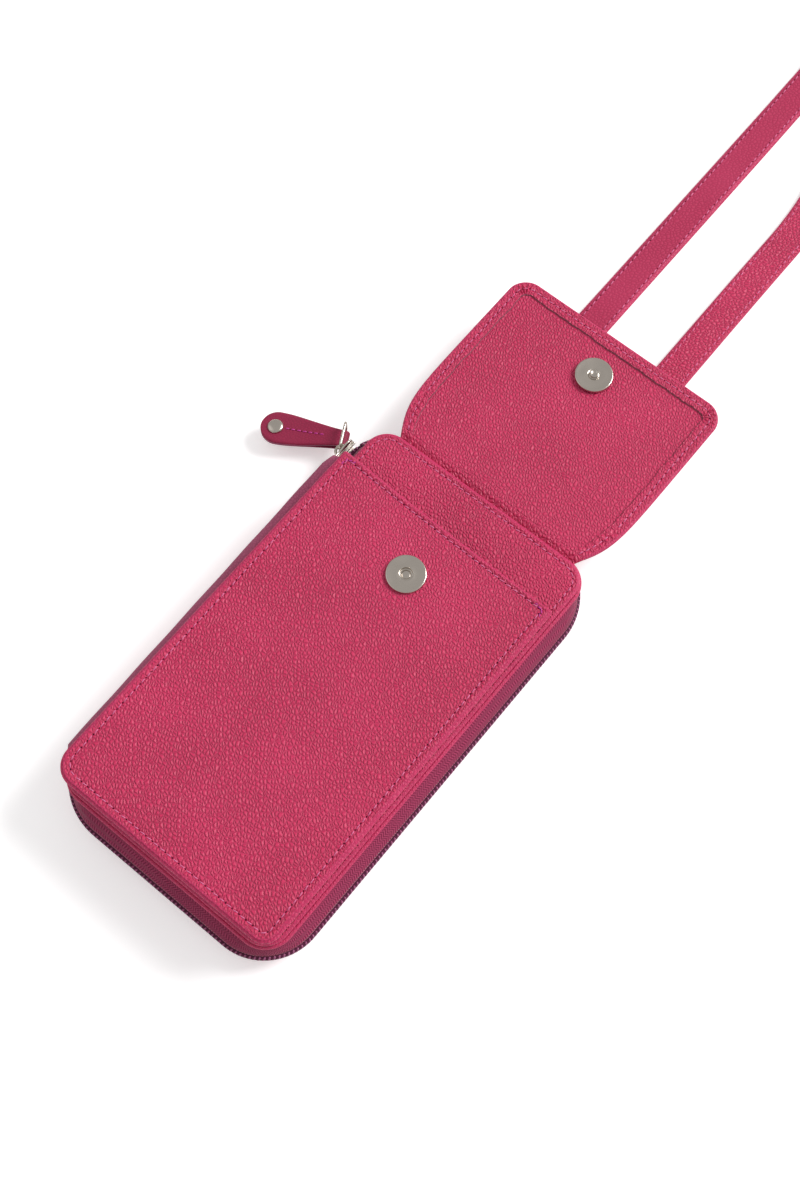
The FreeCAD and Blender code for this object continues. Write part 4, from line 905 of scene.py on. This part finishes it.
# Slider: a plate with two lips that lap the coil, a section carried along Y and drawn in to waist and nose.
slider = {"plate": 1.0, "lip": 0.9, "gap": 3.3, "waist": 0.16, "waistAt": -0.15, "waistWide": 0.42,
          "narrowest": 0.66}
low, high = boxOf("zip_slider")
outX, inX, tall, lipZ = low[0], high[0], (high[2] - low[2]) / 2, slider["gap"] / 2
plateX, lipTop = outX + slider["plate"], lipZ + slider["lip"]
upper = np.array([(plateX, lipZ - 0.1), (plateX + 0.1, lipZ), (inX - 0.2, lipZ), (inX, lipZ + 0.2),
                  (inX, lipTop - 0.2), (inX - 0.2, lipTop), (plateX + 0.15, lipTop), (plateX, lipTop + 0.15),
                  (plateX, tall - 0.25), (plateX - 0.2, tall), (outX + 0.35, tall), (outX + 0.1, tall - 0.3),
                  (outX, tall - 0.9)])
sliderX, sectionZ = np.vstack([upper, upper[::-1] * [1, -1]]).T
t = np.linspace(-1, 1, 41)[:, None]
sliderY = (low[1] + high[1]) / 2 + t * (high[1] - low[1]) / 2
waist = 1 - slider["waist"] * bell(t, slider["waistAt"], slider["waistWide"])
waist = np.maximum(waist * np.sqrt(np.clip(1.0001 - np.abs(t) ** 9, 0.25, 1)), slider["narrowest"])
sliderZ = (low[2] + high[2]) / 2 + sectionZ * np.where(np.abs(sectionZ) > lipTop + 0.05, waist, 1.0)
sliderPiece = tubePiece("zip_slider_body", gridOf(sliderX, sliderY, sliderZ), ("nickel",), "slider")
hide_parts("zip_slider")
for key, nodes in (("nickel", ("slider_eye", "pull_ring", "zip_stop_top", "zip_stop_bottom",
                               "snap_socket_plate", "snap_stud_plate")),
                   ("board", ("back_board", "front_board"))):
    for node in nodes:
        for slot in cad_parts[node].material_slots:
            slot.material = finish[key]

# Pull tab: one strip folded round the ring's bar; half width grows from the fold to a round end.
tab = {"turn": 28.0, "length": 33.0, "wide": 13.6, "narrow": 7.0, "leather": 1.1, "bend": 0.9,
       "closeBy": 0.55, "between": 0.03, "rivetEdge": 5.9, "swing": (-58.7, 75.1, 9.9), "bar": 5.9,
       "drop": 3.0, "flat": 0.86, "edgeDrop": 0.4, "leastHalf": 0.02, "stitchFrom": 7.5, "stitchShort": 3.6,
       "stitchLift": 0.05}
turn = math.radians(tab["turn"])
outAxis = np.array([-math.cos(turn), -math.sin(turn), 0.0])
asideAxis = np.array([-math.sin(turn), math.cos(turn), 0.0])
barAt = np.array(tab["swing"]) + asideAxis * tab["bar"] - zUp * tab["drop"]
roundFrom = tab["length"] - tab["wide"] / 2


def tabHalfWidth(t):  # straight flanks, then a half circle
    flank = tab["narrow"] / 2 + (tab["wide"] - tab["narrow"]) / 2 * smooth(t, 0, roundFrom) ** 0.85
    return flank * np.sqrt(1 - np.clip((t - roundFrom) / (tab["wide"] / 2), 0, 1) ** 2)


outerHigh = tab["bend"] + tab["leather"]
turnBack = np.radians(np.linspace(90, 270, 13))[1:-1]
flatRun = np.unique(np.r_[np.linspace(0, roundFrom, 40),
                          tab["length"] - tab["wide"] / 2 * (1 - np.sin(np.linspace(0, np.pi / 2, 22)))])
layerHigh = tab["leather"] + tab["bend"] * (1 - smooth(flatRun, 0, tab["length"] * tab["closeBy"]))
skinLine = np.vstack([gridOf(flatRun, layerHigh)[::-1],
                      outerHigh * gridOf(np.cos(turnBack), np.sin(turnBack)), gridOf(flatRun, -layerHigh)])
inner = leftOf(skinLine)
meet = np.abs(skinLine[:, 1]) - tab["between"] + np.where(skinLine[:, 0] < 0, tab["leather"], 0.0)
innerLine = skinLine + inner * np.minimum(tab["leather"], meet)[:, None]
halfSpan = np.maximum(tabHalfWidth(np.clip(skinLine[:, 0], 0, None)), tab["leastHalf"])
spread = np.linspace(-1, 1, 19)
edgeDrop = tab["edgeDrop"] * np.clip((np.abs(spread) - tab["flat"]) / (1 - tab["flat"]), 0, 1) ** 2
outerGrid = skinLine[:, None] + inner[:, None] * edgeDrop[:, None]
tabGrid = np.concatenate([outerGrid, np.repeat(innerLine[:, None], len(spread), 1)], 1)
tabSpan = halfSpan[:, None] * np.r_[spread, spread[::-1]]
tabPoints = barAt + tabGrid[..., :1] * outAxis + tabSpan[..., None] * asideAxis + tabGrid[..., 1:] * zUp
edgeSlots = np.arange(1, 2 * len(spread) + 1) % len(spread) == 0
tabPiece = tubePiece("pull_tab_leather", tabPoints, ("tab", "paint"), "pull", edgeSlots,
                     uv=gridOf(tabSpan, runOf(skinLine)[:, None]))
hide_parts("pull_tab")
rivetAt = tab["length"] - tab["rivetEdge"]
rivetProfile = [(0.01, -0.55), (2.6, -0.55), (3.05, -0.42), (3.1, -0.1), (3.1, 0.05), (1.5, 0.1), (1.5, 2.1),
                (3.05, 2.15), (3.1, 2.3), (3.06, 2.55), (2.85, 2.85), (2.4, 3.08), (1.6, 3.2), (0.8, 3.24),
                (0.01, 3.25)]
rivet = lathePiece("pull_rivet_cap", rivetProfile, barAt + outAxis * rivetAt - zUp * tab["leather"], "pull")
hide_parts("pull_rivet")
t = np.linspace(tab["stitchFrom"], rivetAt - tab["stitchShort"], 12)
stitchHigh = np.interp(t, flatRun, layerHigh) + tab["stitchLift"]
tabLine = barAt + t[:, None] * outAxis + stitchHigh[:, None] * zUp
stitchRow("pull_tab_stitches", tabLine, dict(coverStitch, pitch=2.3, length=1.7, wide=0.6), "pull",
          yarn="tack")
print("snap and pull done")

# White paper floor: matt, seen a little brighter than the light on it, and white where the lamps fade.
paper = {"colour": "#F4F3F3", "rough": 0.95, "gloss": 0.1, "glow": 0.385, "fadeFrom": 0.8, "fadeTo": 3.0,
         "fade": 0.25, "half": 9.0, "z": -0.0002}
floorMaterial, add, shade = newFinish("white_paper_floor")
cameraRay, glossyRay = [add("LightPath", out=f"Is {kind} Ray") for kind in ("Camera", "Glossy")]
seen = add("Math", (cameraRay, glossyRay), operation="MAXIMUM")
glow = add("Math", (seen, paper["glow"]), operation="MULTIPLY")
away = add("VectorMath", (add("TexCoord", out="Object"),), out="Value", operation="LENGTH")
far = add("MapRange", {"Value": away, "From Min": paper["fadeFrom"], "From Max": paper["fadeTo"],
                       "To Max": paper["fade"]})
lit = add("Math", (cameraRay, far, glow), operation="MULTIPLY_ADD")
shade({"Roughness": paper["rough"], "Specular IOR Level": paper["gloss"], "Base Color": paper["colour"],
       "Emission Color": "#FFFFFF", "Emission Strength": lit})
floorMesh = bpy.data.meshes.new("floor")
floorMesh.from_pydata([(x * paper["half"], y * paper["half"], paper["z"])
                       for x, y in ((-1, -1), (1, -1), (1, 1), (-1, 1))], [], [(0, 1, 2, 3)])
floorMesh.materials.append(floorMaterial)
addObject("floor", floorMesh)

# Light: a white room, plain in its light and full white to the eye, and two soft lamps.
room = {"light": 0.52, "toEye": 0.48}
world = bpy.data.worlds.new("studio")
bpy.context.scene.world = world
world.use_nodes = True
sky = world.node_tree
background = next(n for n in sky.nodes if n.type == "BACKGROUND")
cameraRay, throughRay = [addNode(sky, "LightPath", out=f"Is {kind} Ray")
                         for kind in ("Camera", "Transmission")]
seen = addNode(sky, "Math", (cameraRay, throughRay), operation="MAXIMUM")
strength = addNode(sky, "Math", (seen, room["toEye"], room["light"]), operation="MULTIPLY_ADD")
setSockets(sky, background, {"Color": "#FFFFFF", "Strength": strength})
lamps = {"key": {"place": (1.5, 2.5, 2.5), "size": 1.6, "power": 126.0},
         "fill": {"place": (-0.7, -0.3, 0.9), "size": 0.9, "power": 1.0}}
aim = np.array([0.0, 0.03, 0.0])
for name, lamp in lamps.items():
    light = bpy.data.lights.new(name, "AREA")
    light.size = lamp["size"]
    light.energy = lamp["power"]
    back = unit(np.array(lamp["place"]) - aim)
    right = unit(np.cross(zUp, back))
    addObject(name, light, (right, np.cross(back, right), back), lamp["place"])
bpy.context.scene.view_settings.view_transform = "Standard"
print("light set")
